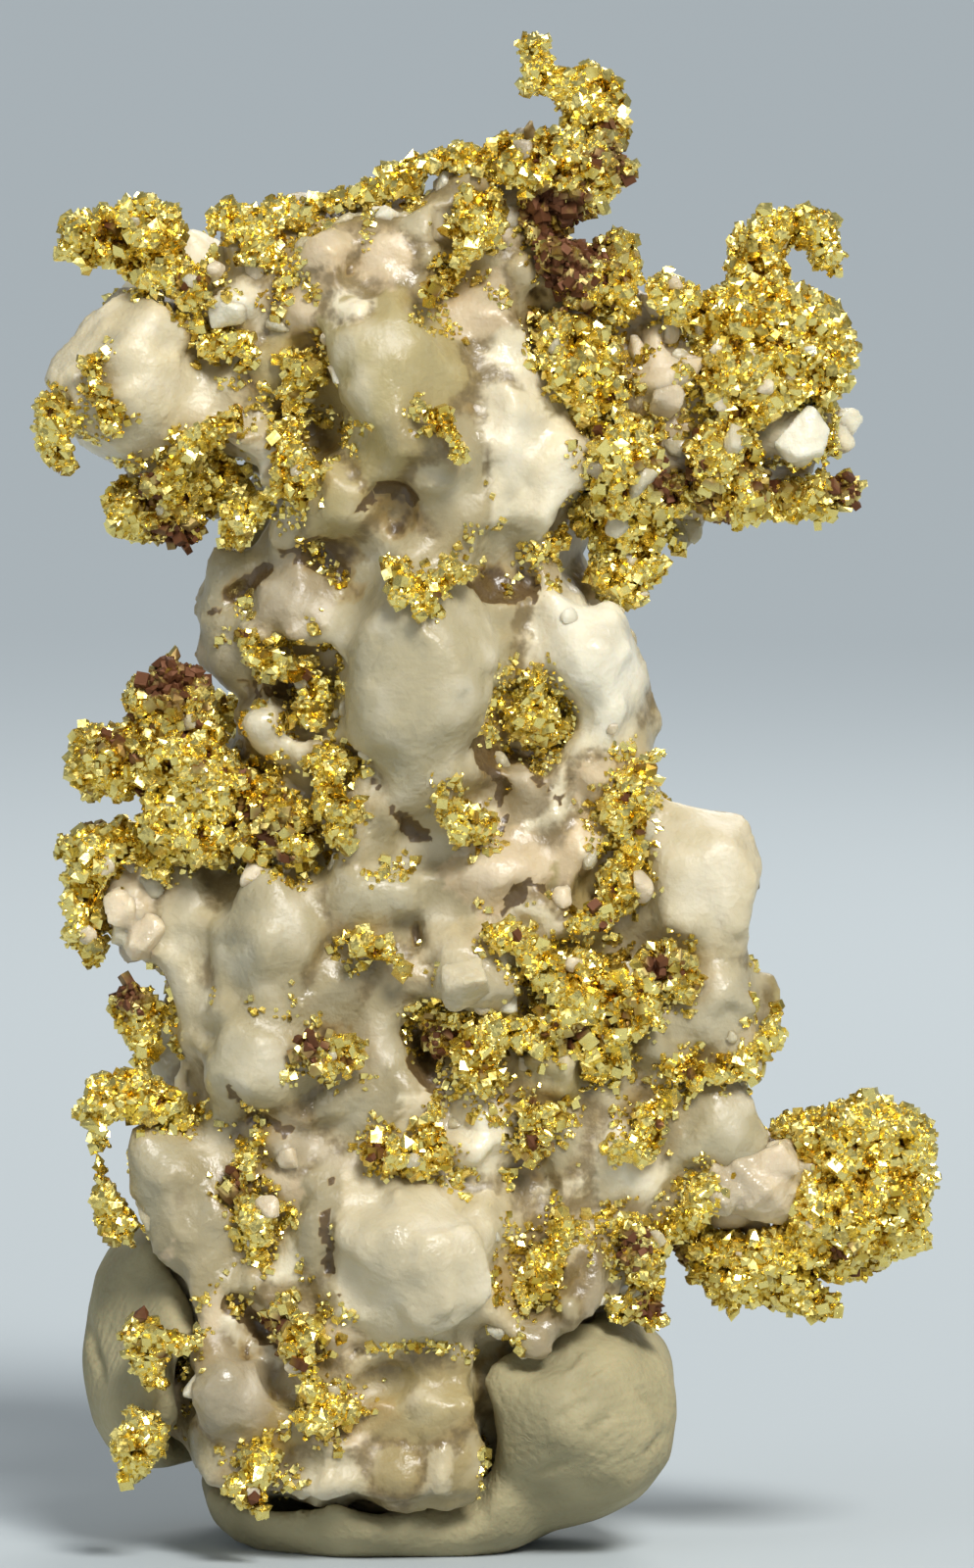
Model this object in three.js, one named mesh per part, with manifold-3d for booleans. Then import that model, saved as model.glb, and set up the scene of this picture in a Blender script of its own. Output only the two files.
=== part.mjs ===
// Gold in quartz: milky quartz crystals grown together in one upright mass, with crusts, veins and
// lobes of native gold grown over them, standing in a mound of mineral putty.
// Millimetres, +Z up, the front of the specimen faces -Y, the origin is under the middle of its box.
import * as THREE from "three";
import { mergeVertices } from "three/addons/utils/BufferGeometryUtils.js";
import Module from "manifold-3d";

const wasm = await Module();
wasm.setup();

// Driving dimensions. Places are [across, depth, height]: across to the right from a line just left of
// the specimen, depth from its middle plane with the front negative, height above the table.
const gap = 0.36; // clearance between pieces that touch
const tableHeight = 0; // the putty's flat underside
const facesPerCrystal = 7; // flat faces that cut into a crystal's rounded form
const faceDepth = [0.78, 0.95]; // how far out those faces lie, of its half width
const blockiness = 2.6; // 2 is an ellipsoid, more is nearer to a box
const quartzRoughness = 0.05; // of a crystal's half width
const strandRoughness = 0.3; // of a gold strand's radius
const massRoughness = 0.34; // of a gold mass's half width
const strandLift = 0.5; // a strand's middle above the quartz that it grows on, of its radius
const massLift = 0.7; // the same for a mass
const massFullness = 1.26; // a mass's real half width, of the one that shows above the quartz
const strandFullness = 1.5; // a strand's real radius, of the same
const edgeDepth = 2.4; // depth of gold that no quartz lies behind
const massDepth = 0.9; // a mass's half depth, of its smaller half width
const strandSides = 5; // faces round a strand of gold
const ringTwist = 0.6; // radians from one ring of a strand to the next
const kept = { quartz: 0.27, gold: 0.42, putty: 0.55 }; // share of a joined solid's triangles
const seeds = { quartz: 1, lobe: 500, putty: 900, gold: 1000, perPiece: 100 }; // of the random forms
const steepestTurn = 0.3; // cosine past which a thinned face would turn over

const depthAxis = new THREE.Vector3(0, 1, 0);
const colours = { quartz: 0xb8ab88, gold: 0xc9a23c, putty: 0x9c9472 };

const quartzCrystals = {
  inside: [
    { at: [15.5, 0.4, 48.5], half: [9.0, 4.8, 5.2], fine: 1, cuts: 0 },
    { at: [16.6, -0.4, 52.6], half: [6.4, 3.6, 3.4], fine: 1, cuts: 0 },
    { at: [21.8, -1.4, 54.6], half: [1.6, 1.5, 4.2], cuts: 0 },
    { at: [26.5, -0.4, 46.5], half: [7.0, 3.2, 4.2], fine: 1, cuts: 0 },
    { at: [17.0, 0.4, 39.0], half: [7.2, 5.6, 7.5], fine: 1, cuts: 0 },
    { at: [17.5, 0.2, 27.5], half: [10.5, 5.6, 9.0], fine: 1, cuts: 0 },
    { at: [16.0, -0.2, 15.0], half: [10.0, 6.6, 9.6], fine: 1, cuts: 0 },
    { at: [14.0, -1.4, 6.4], half: [7.8, 5.6, 5.0], fine: 1, cuts: 0 },
    { at: [25.5, -0.5, 19.0], half: [5.0, 4.6, 6.5], fine: 1, cuts: 0 },
    { at: [8.2, -1.0, 26.8], half: [3.2, 3.0, 3.6], fine: 1, cuts: 0 },
  ],
  head: [
    { at: [5.2, -2.4, 48.0], half: [3.7, 3.6, 4.1], lean: 14, fine: 2 },
    { at: [9.6, -4.2, 51.5], half: [1.5, 1.5, 1.3] },
    { at: [9.8, -2.8, 53.2], half: [1.3, 1.5, 1.4] },
    { at: [10.5, -3.0, 48.0], half: [1.6, 2.0, 2.2] },
    { at: [10.2, -4.4, 45.6], half: [1.7, 1.5, 1.1], lean: 28 },
    { at: [13.4, -4.4, 53.4], half: [1.6, 1.7, 1.7], lean: -12 },
    { at: [16.2, -4.2, 53.4], half: [2.0, 2.0, 2.0], lean: -12 },
    { at: [18.3, -3.2, 54.8], half: [1.6, 1.6, 1.7], lean: -12 },
    { at: [13.4, -4.8, 50.9], half: [1.6, 1.5, 1.2] },
    { at: [16.2, -5.8, 48.4], half: [2.9, 2.4, 3.5], lean: -10, fine: 2 },
    { at: [17.2, -7.0, 45.6], half: [2.0, 1.9, 1.5], lean: 12 },
    { at: [13.6, -5.2, 43.3], half: [2.4, 2.0, 2.1] },
    { at: [18.0, -5.4, 42.6], half: [2.2, 2.1, 2.2] },
    { at: [20.0, -5.2, 45.4], half: [1.5, 1.9, 4.0], lean: 5 },
    { at: [22.2, -5.0, 44.0], half: [1.5, 1.8, 2.6], lean: 16 },
    { at: [21.9, -4.6, 47.2], half: [1.3, 1.3, 1.2] },
    { at: [20.2, -4.4, 50.2], half: [1.6, 1.6, 1.5] },
    { at: [20.8, -3.4, 53.0], half: [1.7, 1.8, 1.9] },
    { at: [21.0, -2.4, 55.1], half: [1.3, 1.4, 1.0] },
    { at: [21.8, -2.5, 58.6], half: [1.0, 1.0, 0.9] },
    { at: [22.8, -2.0, 55.6], half: [1.2, 1.2, 2.2] },
  ],
  arm: [
    { at: [26.8, -3.6, 47.8], half: [1.9, 1.6, 1.9] },
    { at: [26.6, -2.8, 50.6], half: [1.2, 1.3, 1.4] },
    { at: [24.2, -4.2, 44.7], half: [1.3, 1.5, 1.4] },
    { at: [27.4, -3.0, 44.9], half: [1.5, 1.3, 1.1] },
    { at: [30.4, -2.6, 45.6], half: [1.4, 1.4, 1.5] },
    { at: [32.5, -3.0, 45.9], half: [1.2, 1.6, 1.9], lean: 10 },
    { at: [34.1, -1.0, 46.1], half: [1.0, 1.9, 1.7] },
    { at: [31.3, -1.0, 48.8], half: [2.5, 1.8, 2.4] },
    { at: [24.0, -1.8, 51.4], half: [2.4, 1.8, 2.0] },
    { at: [28.0, -1.8, 41.8], half: [1.2, 1.5, 1.2] },
  ],
  neck: [
    { at: [9.6, -1.4, 38.6], half: [1.8, 2.6, 3.4] },
    { at: [12.1, -4.0, 39.0], half: [1.6, 2.0, 1.6] },
    { at: [12.0, -4.4, 41.4], half: [1.3, 1.6, 1.3] },
    { at: [10.9, -3.8, 37.4], half: [1.6, 1.6, 0.9] },
    { at: [17.4, -5.6, 36.6], half: [3.6, 3.3, 4.4], fine: 2 },
    { at: [18.1, -5.6, 33.2], half: [2.4, 2.6, 2.6] },
    { at: [21.8, -3.8, 38.9], half: [1.8, 2.0, 1.8], lean: -16 },
    { at: [24.4, -3.6, 36.2], half: [2.2, 3.0, 2.9], lean: -12, fine: 2 },
    { at: [26.1, -2.4, 33.9], half: [1.1, 2.2, 2.0], lean: 8 },
    { at: [10.7, -4.0, 34.0], half: [1.3, 1.7, 1.7], lean: -20 },
    { at: [12.6, -4.0, 32.6], half: [1.3, 1.5, 1.6] },
    { at: [22.0, -4.2, 31.6], half: [1.7, 1.8, 1.6] },
    { at: [24.0, -4.6, 32.6], half: [1.2, 1.6, 1.4] },
    { at: [23.6, -4.8, 29.6], half: [1.5, 1.5, 1.1], lean: 18 },
    { at: [26.1, -2.6, 30.9], half: [1.0, 2.2, 2.0] },
  ],
  middle: [
    { at: [28.9, -2.4, 27.6], half: [2.2, 3.2, 3.1], lean: 8, fine: 2, cuts: 2, block: 7 },
    { at: [29.3, -2.8, 22.5], half: [2.4, 2.8, 2.4] },
    { at: [28.8, -2.6, 17.6], half: [2.4, 2.6, 2.7], lean: -8 },
    { at: [11.3, -5.0, 25.4], half: [2.3, 2.6, 3.1], fine: 2 },
    { at: [11.0, -5.2, 20.4], half: [2.8, 2.6, 2.5], fine: 2 },
    { at: [8.9, -4.0, 23.6], half: [1.2, 2.0, 3.2] },
    { at: [7.4, -3.2, 22.9], half: [0.8, 1.7, 3.2], lean: 2 },
    { at: [5.8, -2.4, 26.0], half: [1.7, 2.2, 2.3] },
    { at: [15.6, -5.2, 27.6], half: [2.5, 1.9, 1.7], lean: 14, fine: 2 },
    { at: [20.2, -5.2, 28.0], half: [2.2, 1.8, 2.0] },
    { at: [22.6, -5.2, 26.7], half: [1.6, 1.6, 1.6] },
    { at: [15.4, -5.6, 30.8], half: [1.7, 1.7, 1.5] },
    { at: [19.6, -6.0, 24.1], half: [2.3, 2.1, 1.6], lean: 8, fine: 2 },
    { at: [15.4, -5.2, 23.3], half: [1.7, 1.8, 1.9] },
    { at: [15.6, -5.4, 19.4], half: [1.9, 2.0, 2.0] },
    { at: [21.8, -5.0, 20.0], half: [2.0, 1.7, 2.0] },
    { at: [26.6, -4.0, 21.4], half: [1.6, 2.0, 2.2] },
    { at: [19.6, -5.8, 17.4], half: [1.0, 1.5, 2.1], lean: 8 },
    { at: [23.2, -4.8, 16.6], half: [1.3, 1.6, 2.0] },
    { at: [24.9, -4.8, 16.9], half: [1.1, 1.5, 2.9], lean: -6 },
    { at: [26.9, -3.4, 15.6], half: [1.3, 2.1, 2.0] },
  ],
  foot: [
    { at: [17.3, -7.0, 12.0], half: [3.5, 3.0, 3.2], fine: 2 },
    { at: [19.8, -5.4, 13.6], half: [2.4, 2.4, 1.9] },
    { at: [13.3, -6.2, 13.9], half: [1.2, 2.0, 2.2] },
    { at: [6.0, -3.8, 16.5], half: [1.5, 2.3, 2.0] },
    { at: [7.8, -4.4, 14.3], half: [2.0, 2.7, 2.9], fine: 2 },
    { at: [8.4, -4.8, 11.3], half: [1.4, 2.2, 1.7] },
    { at: [11.9, -5.8, 16.3], half: [1.5, 1.6, 1.2] },
    { at: [12.0, -6.9, 12.2], half: [0.8, 1.0, 1.0] },
    { at: [10.1, -6.0, 11.1], half: [0.9, 1.4, 1.2] },
    { at: [13.6, -6.6, 10.4], half: [1.3, 1.3, 1.3] },
    { at: [13.6, -6.4, 9.0], half: [1.5, 1.4, 0.8] },
    { at: [24.2, -6.0, 12.0], half: [1.0, 1.3, 1.9], lean: 12 },
    { at: [23.4, -6.4, 10.3], half: [1.0, 1.3, 1.6], lean: 40 },
    { at: [21.9, -6.6, 8.8], half: [1.0, 1.2, 0.9], lean: 50 },
    { at: [24.2, -3.0, 12.5], half: [3.0, 2.6, 3.0] },
    { at: [17.2, -6.0, 7.6], half: [2.1, 1.8, 1.7] },
    { at: [9.2, -5.6, 6.9], half: [2.2, 2.6, 2.3] },
    { at: [9.6, -6.0, 3.8], half: [1.6, 1.5, 1.5], block: 4 },
    { at: [13.2, -6.2, 4.4], half: [2.3, 2.3, 2.2] },
    { at: [18.0, -6.2, 5.0], half: [2.1, 2.2, 3.4], lean: -4, block: 3.5 },
    { at: [15.8, -6.6, 3.2], half: [2.6, 1.8, 1.5], lean: 12 },
  ],
  back: [
    { at: [8.5, 3.2, 50.0], half: [4.4, 3.4, 3.8], lean: -10 },
    { at: [16.5, 4.4, 50.4], half: [4.2, 3.2, 4.2], lean: 12 },
    { at: [23.6, 2.6, 48.4], half: [3.6, 2.8, 3.6] },
    { at: [29.8, 1.8, 46.9], half: [3.6, 2.3, 2.8], lean: -14 },
    { at: [12.8, 5.0, 42.6], half: [3.2, 3.2, 4.2], lean: 8 },
    { at: [20.4, 5.2, 40.4], half: [3.8, 3.2, 4.8], lean: -10 },
    { at: [14.6, 5.8, 34.2], half: [4.2, 3.0, 4.0], lean: 16 },
    { at: [22.2, 5.0, 31.6], half: [3.6, 3.2, 4.4] },
    { at: [9.4, 4.2, 28.6], half: [3.6, 3.2, 4.4], lean: -12 },
    { at: [16.2, 6.8, 26.0], half: [3.8, 3.0, 4.6], lean: 8 },
    { at: [25.8, 3.6, 24.4], half: [3.6, 3.4, 4.4], lean: -8 },
    { at: [10.6, 5.2, 19.4], half: [3.8, 3.2, 4.2], lean: 14 },
    { at: [19.4, 6.6, 17.2], half: [4.0, 3.2, 4.6], lean: -14 },
    { at: [25.0, 3.0, 16.0], half: [3.2, 2.8, 4.0] },
    { at: [13.4, 5.4, 11.4], half: [4.4, 3.0, 4.0], lean: 6 },
    { at: [8.0, 2.0, 20.6], half: [2.6, 2.8, 3.8], lean: 8 },
  ],
};

const lobeCrystals = [
  { at: [31.2, -2.4, 15.4], half: [1.9, 1.7, 1.7], lean: -20, fine: 1 },
  { at: [30.0, -2.6, 14.1], half: [1.3, 1.4, 0.9] },
];

// Gold. Each mass is at [across, height] with its half width and half height, and each strand is a line of
// [across, height, radius]. Both grow on the front of the quartz. A piece with a depth stands at least that
// far forward, and a piece from behind grows on the back.
const goldPieces = {
  spire: {
    depth: -2.6,
    masses: [
      { at: [23.9, 59.6], half: [1.35, 0.95] },
      { at: [24.2, 57.8], half: [1.0, 1.7] },
      { at: [22.9, 56.8], half: [2.2, 1.4] },
      { at: [22.7, 55.1], half: [1.3, 0.9] },
    ],
    strands: [
      [[21.3, 62.1, 0.26], [21.8, 61.2, 0.56], [22.0, 60.2, 0.62], [22.8, 59.8, 0.6], [23.8, 59.8, 0.6]],
      [[20.8, 58.6, 0.3], [20.9, 57.7, 0.4], [21.4, 57.0, 0.8], [22.4, 56.6, 0.9]],
    ],
  },
  crest: {
    depth: -3.2,
    strands: [[
      [20.4, 56.6, 0.62], [19.3, 56.8, 0.62], [18.0, 56.7, 0.62], [16.6, 56.2, 0.56], [15.3, 55.5, 0.46],
      [13.9, 55.2, 0.4], [12.8, 55.0, 0.44],
    ]],
  },
  crest_face: {
    masses: [
      { at: [19.2, 54.2], half: [1.0, 1.5], lean: 16 },
    ],
    strands: [[[19.8, 55.5, 0.5], [19.0, 53.9, 0.8], [18.3, 52.6, 0.6], [17.3, 51.5, 0.4]]],
  },
  saddle: {
    masses: [
      { at: [23.2, 52.6], half: [1.9, 1.1], lean: 40 },
      { at: [25.1, 52.2], half: [0.9, 1.5] },
    ],
    strands: [
      [[21.8, 53.7, 0.5], [22.6, 53.2, 0.7], [23.8, 52.3, 0.9], [24.2, 50.9, 0.5]],
      [[24.4, 53.6, 0.4], [25.0, 52.9, 0.7], [25.3, 51.8, 0.7], [25.2, 50.6, 0.45]],
    ],
  },
  left_horn: {
    depth: -3.0,
    masses: [
      { at: [3.9, 53.9], half: [1.2, 0.95] },
      { at: [6.1, 54.2], half: [1.25, 1.3] },
      { at: [6.7, 52.1], half: [1.5, 1.0] },
    ],
    strands: [
      [[6.1, 54.2, 0.8], [6.6, 53.2, 0.7], [6.9, 52.0, 0.8]],
      [[3.1, 53.0, 0.36], [3.5, 53.8, 0.7], [4.8, 53.6, 0.6], [6.0, 54.2, 0.8], [6.6, 55.4, 0.32]],
      [[5.6, 51.8, 0.4], [6.9, 51.7, 0.7], [8.1, 52.3, 0.6]],
    ],
  },
  left_crest: {
    strands: [[
      [8.7, 52.7, 0.5], [8.2, 51.6, 0.65], [8.3, 50.4, 0.6], [9.2, 49.5, 0.55], [10.4, 49.3, 0.4],
    ]],
  },
  left_shoulder: {
    depth: -3.6,
    masses: [
      { at: [9.7, 54.5], half: [0.95, 0.8] },
      { at: [11.1, 53.4], half: [1.35, 1.8] },
    ],
    strands: [[[12.6, 54.6, 0.5], [11.4, 54.1, 0.8], [11.1, 52.8, 0.8], [11.0, 51.2, 0.5]]],
  },
  lump_streak: { strands: [[[3.8, 49.2, 0.34], [4.1, 48.2, 0.46], [4.5, 47.2, 0.46], [4.9, 46.2, 0.36]]] },
  lump_patch: { depth: -3.6, masses: [{ at: [2.5, 46.1], half: [0.85, 1.4] }] },
  throat: {
    strands: [[
      [13.3, 48.8, 0.4], [12.4, 48.8, 0.75], [11.9, 47.5, 0.6], [11.7, 46.3, 0.5], [11.9, 45.1, 0.65],
      [12.1, 44.1, 0.7], [12.8, 43.5, 0.4],
    ]],
  },
  under_lump: {
    masses: [
      { at: [6.6, 43.3], half: [1.9, 1.6] },
      { at: [8.6, 43.9], half: [1.5, 1.2] },
    ],
    strands: [
      [[5.4, 43.4, 0.6], [7.3, 43.7, 0.8], [9.0, 43.9, 0.6]],
      [[10.0, 46.8, 0.36], [8.9, 46.2, 0.5], [7.6, 45.2, 0.56], [6.2, 44.2, 0.7]],
    ],
  },
  under_neck: { depth: -4.6, strands: [[[10.8, 43.3, 0.5], [10.0, 42.5, 0.7], [9.6, 41.6, 0.5]]] },
  crystal_vein: {
    strands: [[[17.4, 46.9, 0.36], [18.1, 46.4, 0.46], [18.5, 45.8, 0.42], [18.8, 45.2, 0.34]]],
  },
  shoulder_face: {
    masses: [
      { at: [23.6, 48.4], half: [1.6, 2.2] },
      { at: [22.4, 49.9], half: [0.9, 1.1] },
    ],
    strands: [[[24.6, 50.2, 0.5], [24.4, 48.8, 0.7], [24.0, 47.2, 0.8], [24.4, 46.2, 0.6]]],
  },
  arm_face: {
    masses: [
      { at: [25.3, 44.8], half: [1.3, 1.9] },
      { at: [25.4, 42.8], half: [1.7, 1.3] },
      { at: [27.2, 43.4], half: [1.2, 0.9] },
    ],
    strands: [[
      [26.8, 46.3, 0.4], [25.9, 46.0, 0.6], [25.3, 44.6, 0.9], [25.6, 43.0, 0.9], [27.4, 43.4, 0.7],
    ]],
  },
  hook: {
    depth: -2.4,
    strands: [
      [[30.2, 51.6, 0.7], [30.6, 52.8, 0.84], [31.0, 53.9, 0.76], [32.0, 54.5, 0.46], [33.1, 54.2, 0.5],
        [33.6, 53.4, 0.46], [34.0, 52.3, 0.24]],
      [[31.2, 51.6, 0.5], [31.3, 52.8, 0.5], [31.2, 54.0, 0.5]],
      [[33.9, 54.8, 0.2], [33.5, 54.2, 0.5], [33.2, 53.6, 0.4]],
    ],
  },
  arm_crown: {
    masses: [
      { at: [31.0, 50.4], half: [2.3, 1.5] },
      { at: [32.9, 49.2], half: [1.4, 2.0] },
      { at: [30.7, 48.3], half: [2.2, 1.5] },
    ],
    strands: [
      [[27.1, 51.6, 0.5], [28.0, 50.9, 0.6], [29.0, 50.2, 0.8], [29.0, 49.0, 0.8], [28.8, 47.6, 0.6]],
    ],
  },
  arm_seam: { strands: [[[33.9, 46.6, 0.36], [33.8, 45.7, 0.42], [33.3, 44.8, 0.36]]] },
  arm_underside: {
    masses: [
      { at: [29.6, 44.6], half: [1.4, 1.9] },
      { at: [32.0, 43.4], half: [1.8, 0.8] },
    ],
    strands: [[
      [34.8, 43.8, 0.5], [33.6, 43.5, 0.64], [31.8, 43.4, 0.7], [30.4, 43.6, 0.8], [29.2, 44.6, 0.8],
    ]],
  },
  arm_drop: {
    masses: [
      { at: [25.4, 40.2], half: [1.3, 1.3] },
    ],
    strands: [[
      [24.9, 41.4, 0.5], [25.3, 40.0, 0.85], [24.4, 38.9, 0.6], [23.2, 38.2, 0.6], [22.2, 38.1, 0.4],
    ]],
  },
  crack_left: {
    strands: [[
      [16.1, 40.9, 0.42], [16.5, 39.9, 0.6], [17.3, 39.2, 0.6], [17.8, 40.1, 0.5], [19.2, 40.6, 0.4],
    ]],
  },
  crack_right: { strands: [[[21.2, 40.6, 0.45], [22.1, 41.0, 0.5], [22.9, 41.9, 0.42]]] },
  neck_vein: {
    strands: [[
      [9.9, 37.9, 0.36], [10.9, 36.8, 0.46], [12.5, 36.6, 0.6], [12.9, 35.4, 0.6], [12.4, 34.1, 0.55],
    ]],
  },
  neck_fan: {
    masses: [
      { at: [22.1, 34.9], half: [1.2, 1.3] },
    ],
    strands: [[[22.2, 36.6, 0.4], [22.2, 35.4, 0.75], [21.6, 34.3, 0.75], [21.2, 33.4, 0.5]]],
  },
  centre_vein: { strands: [[[13.2, 32.9, 0.4], [13.6, 31.8, 0.66], [14.1, 30.7, 0.72], [14.0, 29.5, 0.5]]] },
  tip_vein: { strands: [[[18.2, 31.4, 0.42], [18.7, 30.3, 0.7], [20.2, 29.7, 0.42]]] },
  right_seam: {
    masses: [
      { at: [25.4, 30.0], half: [0.9, 1.6] },
      { at: [24.8, 27.4], half: [1.2, 1.0] },
    ],
    strands: [[
      [26.6, 32.8, 0.36], [25.8, 31.8, 0.56], [25.5, 30.4, 0.7], [25.5, 28.8, 0.6], [25.0, 27.4, 0.8],
      [23.6, 26.2, 0.6],
    ]],
  },
  middle_vein: {
    strands: [[[13.3, 26.9, 0.38], [13.8, 25.9, 0.6], [14.8, 25.3, 0.5], [16.4, 24.2, 0.34]]],
  },
  triangle: {
    depth: -4.2,
    masses: [
      { at: [6.9, 34.7], half: [1.5, 1.7], lean: 30 },
      { at: [4.7, 32.7], half: [1.5, 1.3] },
      { at: [7.9, 32.6], half: [2.8, 2.0], lean: 30 },
      { at: [8.6, 30.4], half: [2.6, 1.7] },
      { at: [11.5, 29.8], half: [1.4, 1.5] },
    ],
    strands: [[[9.0, 34.3, 0.5], [9.6, 33.0, 0.9], [10.8, 31.8, 0.9], [12.0, 30.6, 0.7]]],
  },
  left_flank: {
    depth: -2.6,
    masses: [
      { at: [4.2, 28.7], half: [1.5, 1.2] },
      { at: [3.8, 26.6], half: [0.9, 1.5] },
    ],
    strands: [
      [[6.7, 27.4, 0.4], [6.1, 28.6, 0.6], [4.9, 28.9, 0.8]],
      [[4.0, 28.6, 0.8], [3.8, 27.0, 0.8], [3.5, 25.7, 0.6], [4.0, 24.5, 0.42]],
    ],
  },
  left_nub: {
    depth: -2.8,
    strands: [[[5.6, 23.6, 0.5], [5.3, 22.7, 0.66], [5.9, 21.6, 0.5], [5.8, 20.5, 0.42]]],
  },
  left_spike: {
    depth: -4.4,
    masses: [
      { at: [5.4, 18.4], half: [1.7, 1.1] },
    ],
    strands: [
      [[3.2, 18.1, 0.36], [4.2, 18.4, 0.6], [5.6, 18.5, 0.72], [7.3, 18.0, 0.5]],
      [[4.6, 18.4, 0.6], [4.2, 17.6, 0.5], [3.9, 16.9, 0.32]],
    ],
  },
  left_strip: {
    depth: -4.2,
    strands: [[[4.2, 16.4, 0.34], [4.5, 15.2, 0.5], [4.5, 14.0, 0.6], [5.2, 13.2, 0.5]]],
  },
  main_band: {
    masses: [
      { at: [19.9, 21.4], half: [2.1, 1.2] },
      { at: [22.9, 22.9], half: [1.9, 1.8] },
      { at: [25.3, 22.8], half: [1.5, 1.7] },
      { at: [23.6, 20.8], half: [1.8, 0.9] },
    ],
    strands: [
      [[18.4, 21.7, 0.6], [20.6, 21.5, 0.7], [22.4, 22.0, 0.8], [24.4, 22.4, 0.8]],
      [[19.2, 25.7, 0.36], [20.6, 25.3, 0.5], [21.7, 24.4, 0.7], [22.4, 23.2, 0.8]],
      [[17.7, 22.4, 0.4], [18.8, 21.4, 0.65], [19.6, 20.4, 0.7], [20.0, 19.3, 0.5]],
    ],
  },
  band_end: { strands: [[[27.5, 25.7, 0.4], [27.1, 24.7, 0.66], [27.7, 23.9, 0.66], [28.6, 23.5, 0.36]]] },
  block_vein: {
    strands: [[
      [31.2, 22.7, 0.42], [31.1, 21.4, 0.64], [30.4, 20.2, 0.66], [29.2, 19.8, 0.6], [27.4, 20.2, 0.42],
    ]],
  },
  brown_vein: { strands: [[[12.1, 21.4, 0.4], [13.1, 21.2, 0.56], [14.0, 20.6, 0.56], [15.2, 21.0, 0.36]]] },
  lower_seam: {
    strands: [
      [[14.7, 17.2, 0.36], [15.9, 16.8, 0.56], [17.3, 16.8, 0.66], [18.7, 16.5, 0.42]],
      [[17.3, 16.8, 0.5], [17.6, 17.8, 0.56], [17.6, 18.8, 0.4]],
    ],
  },
  lower_strand: { strands: [[[21.7, 19.1, 0.4], [21.9, 18.1, 0.62], [21.7, 16.8, 0.42]]] },
  lower_rosette: {
    strands: [[[27.1, 19.0, 0.4], [26.5, 18.0, 0.66], [26.3, 17.2, 0.62], [25.5, 17.0, 0.4]]],
  },
  foot_vein: {
    strands: [[
      [10.9, 17.5, 0.36], [10.1, 16.2, 0.6], [10.0, 15.0, 0.5], [10.5, 13.9, 0.66], [10.7, 12.7, 0.42],
    ]],
  },
  foot_grain: {
    strands: [
      [[10.8, 10.6, 0.42], [11.6, 10.4, 0.72], [12.3, 9.3, 0.56], [12.7, 8.0, 0.5], [12.9, 6.8, 0.66],
        [13.1, 5.6, 0.5]],
      [[13.2, 6.6, 0.5], [14.2, 6.4, 0.6], [15.2, 6.2, 0.36]],
    ],
  },
  tooth_left: {
    strands: [[
      [23.0, 14.0, 0.42], [23.0, 12.8, 0.76], [22.3, 11.6, 0.8], [21.4, 10.6, 0.66], [20.5, 9.6, 0.42],
    ]],
  },
  tooth_right: {
    depth: -4.6,
    strands: [
      [[24.9, 14.0, 0.36], [25.8, 13.2, 0.62], [26.3, 12.2, 0.74], [26.3, 11.0, 0.66], [25.8, 10.0, 0.6]],
      [[26.9, 9.7, 0.36], [26.0, 10.2, 0.55], [25.0, 10.0, 0.4]],
    ],
  },
  lobe: {
    depth: -2.4,
    masses: [
      { at: [35.2, 16.2], half: [2.3, 1.8] },
      { at: [36.3, 14.6], half: [1.7, 2.0] },
      { at: [34.5, 13.9], half: [2.0, 1.9] },
      { at: [30.5, 11.8], half: [1.9, 1.2] },
    ],
    strands: [
      [[26.9, 13.4, 0.4], [27.7, 13.9, 0.6], [28.5, 14.9, 0.55], [29.6, 15.6, 0.4]],
      [[27.7, 13.8, 0.5], [28.9, 12.7, 0.8], [30.4, 11.9, 0.9], [32.2, 11.0, 0.7], [33.4, 10.2, 0.3]],
      [[31.4, 12.2, 0.8], [32.8, 12.7, 0.8], [34.4, 13.6, 0.8]],
      [[31.6, 17.2, 0.3], [32.6, 17.4, 0.5], [33.8, 17.0, 0.8]],
    ],
  },
  lower_left: {
    depth: -6.8,
    strands: [
      [[5.1, 9.4, 0.4], [6.2, 9.1, 0.66], [7.3, 9.2, 0.5], [8.5, 9.1, 0.34]],
      [[6.1, 9.0, 0.6], [6.1, 8.2, 0.6], [6.5, 7.5, 0.4]],
    ],
  },
  lower_corner: {
    depth: -6.8,
    strands: [[[5.6, 6.3, 0.42], [5.9, 5.4, 0.8], [5.5, 4.5, 0.8], [5.2, 3.8, 0.42]]],
  },
  base_grain: { strands: [[[11.0, 5.4, 0.38], [10.5, 4.5, 0.46], [10.2, 3.5, 0.6], [10.5, 2.4, 0.38]]] },
  back_crest: {
    behind: true,
    masses: [
      { at: [14.6, 52.2], half: [2.4, 1.3] },
    ],
    strands: [[
      [11.8, 53.2, 0.5], [13.6, 52.6, 0.8], [15.6, 51.4, 0.8], [17.8, 52.2, 0.8], [20.0, 51.2, 0.5],
    ]],
  },
  back_band: {
    behind: true,
    masses: [
      { at: [12.2, 31.8], half: [2.6, 1.4], lean: 30 },
    ],
    strands: [[
      [8.8, 34.4, 0.5], [10.4, 33.2, 0.8], [12.4, 31.4, 0.9], [14.6, 30.4, 0.9], [17.0, 30.6, 0.8],
      [19.2, 29.0, 0.5],
    ]],
  },
  back_low: {
    behind: true,
    strands: [[
      [13.0, 22.6, 0.5], [14.6, 21.4, 0.9], [15.4, 19.6, 0.9], [15.0, 17.8, 0.8], [14.2, 16.4, 0.5],
    ]],
  },
};

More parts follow.
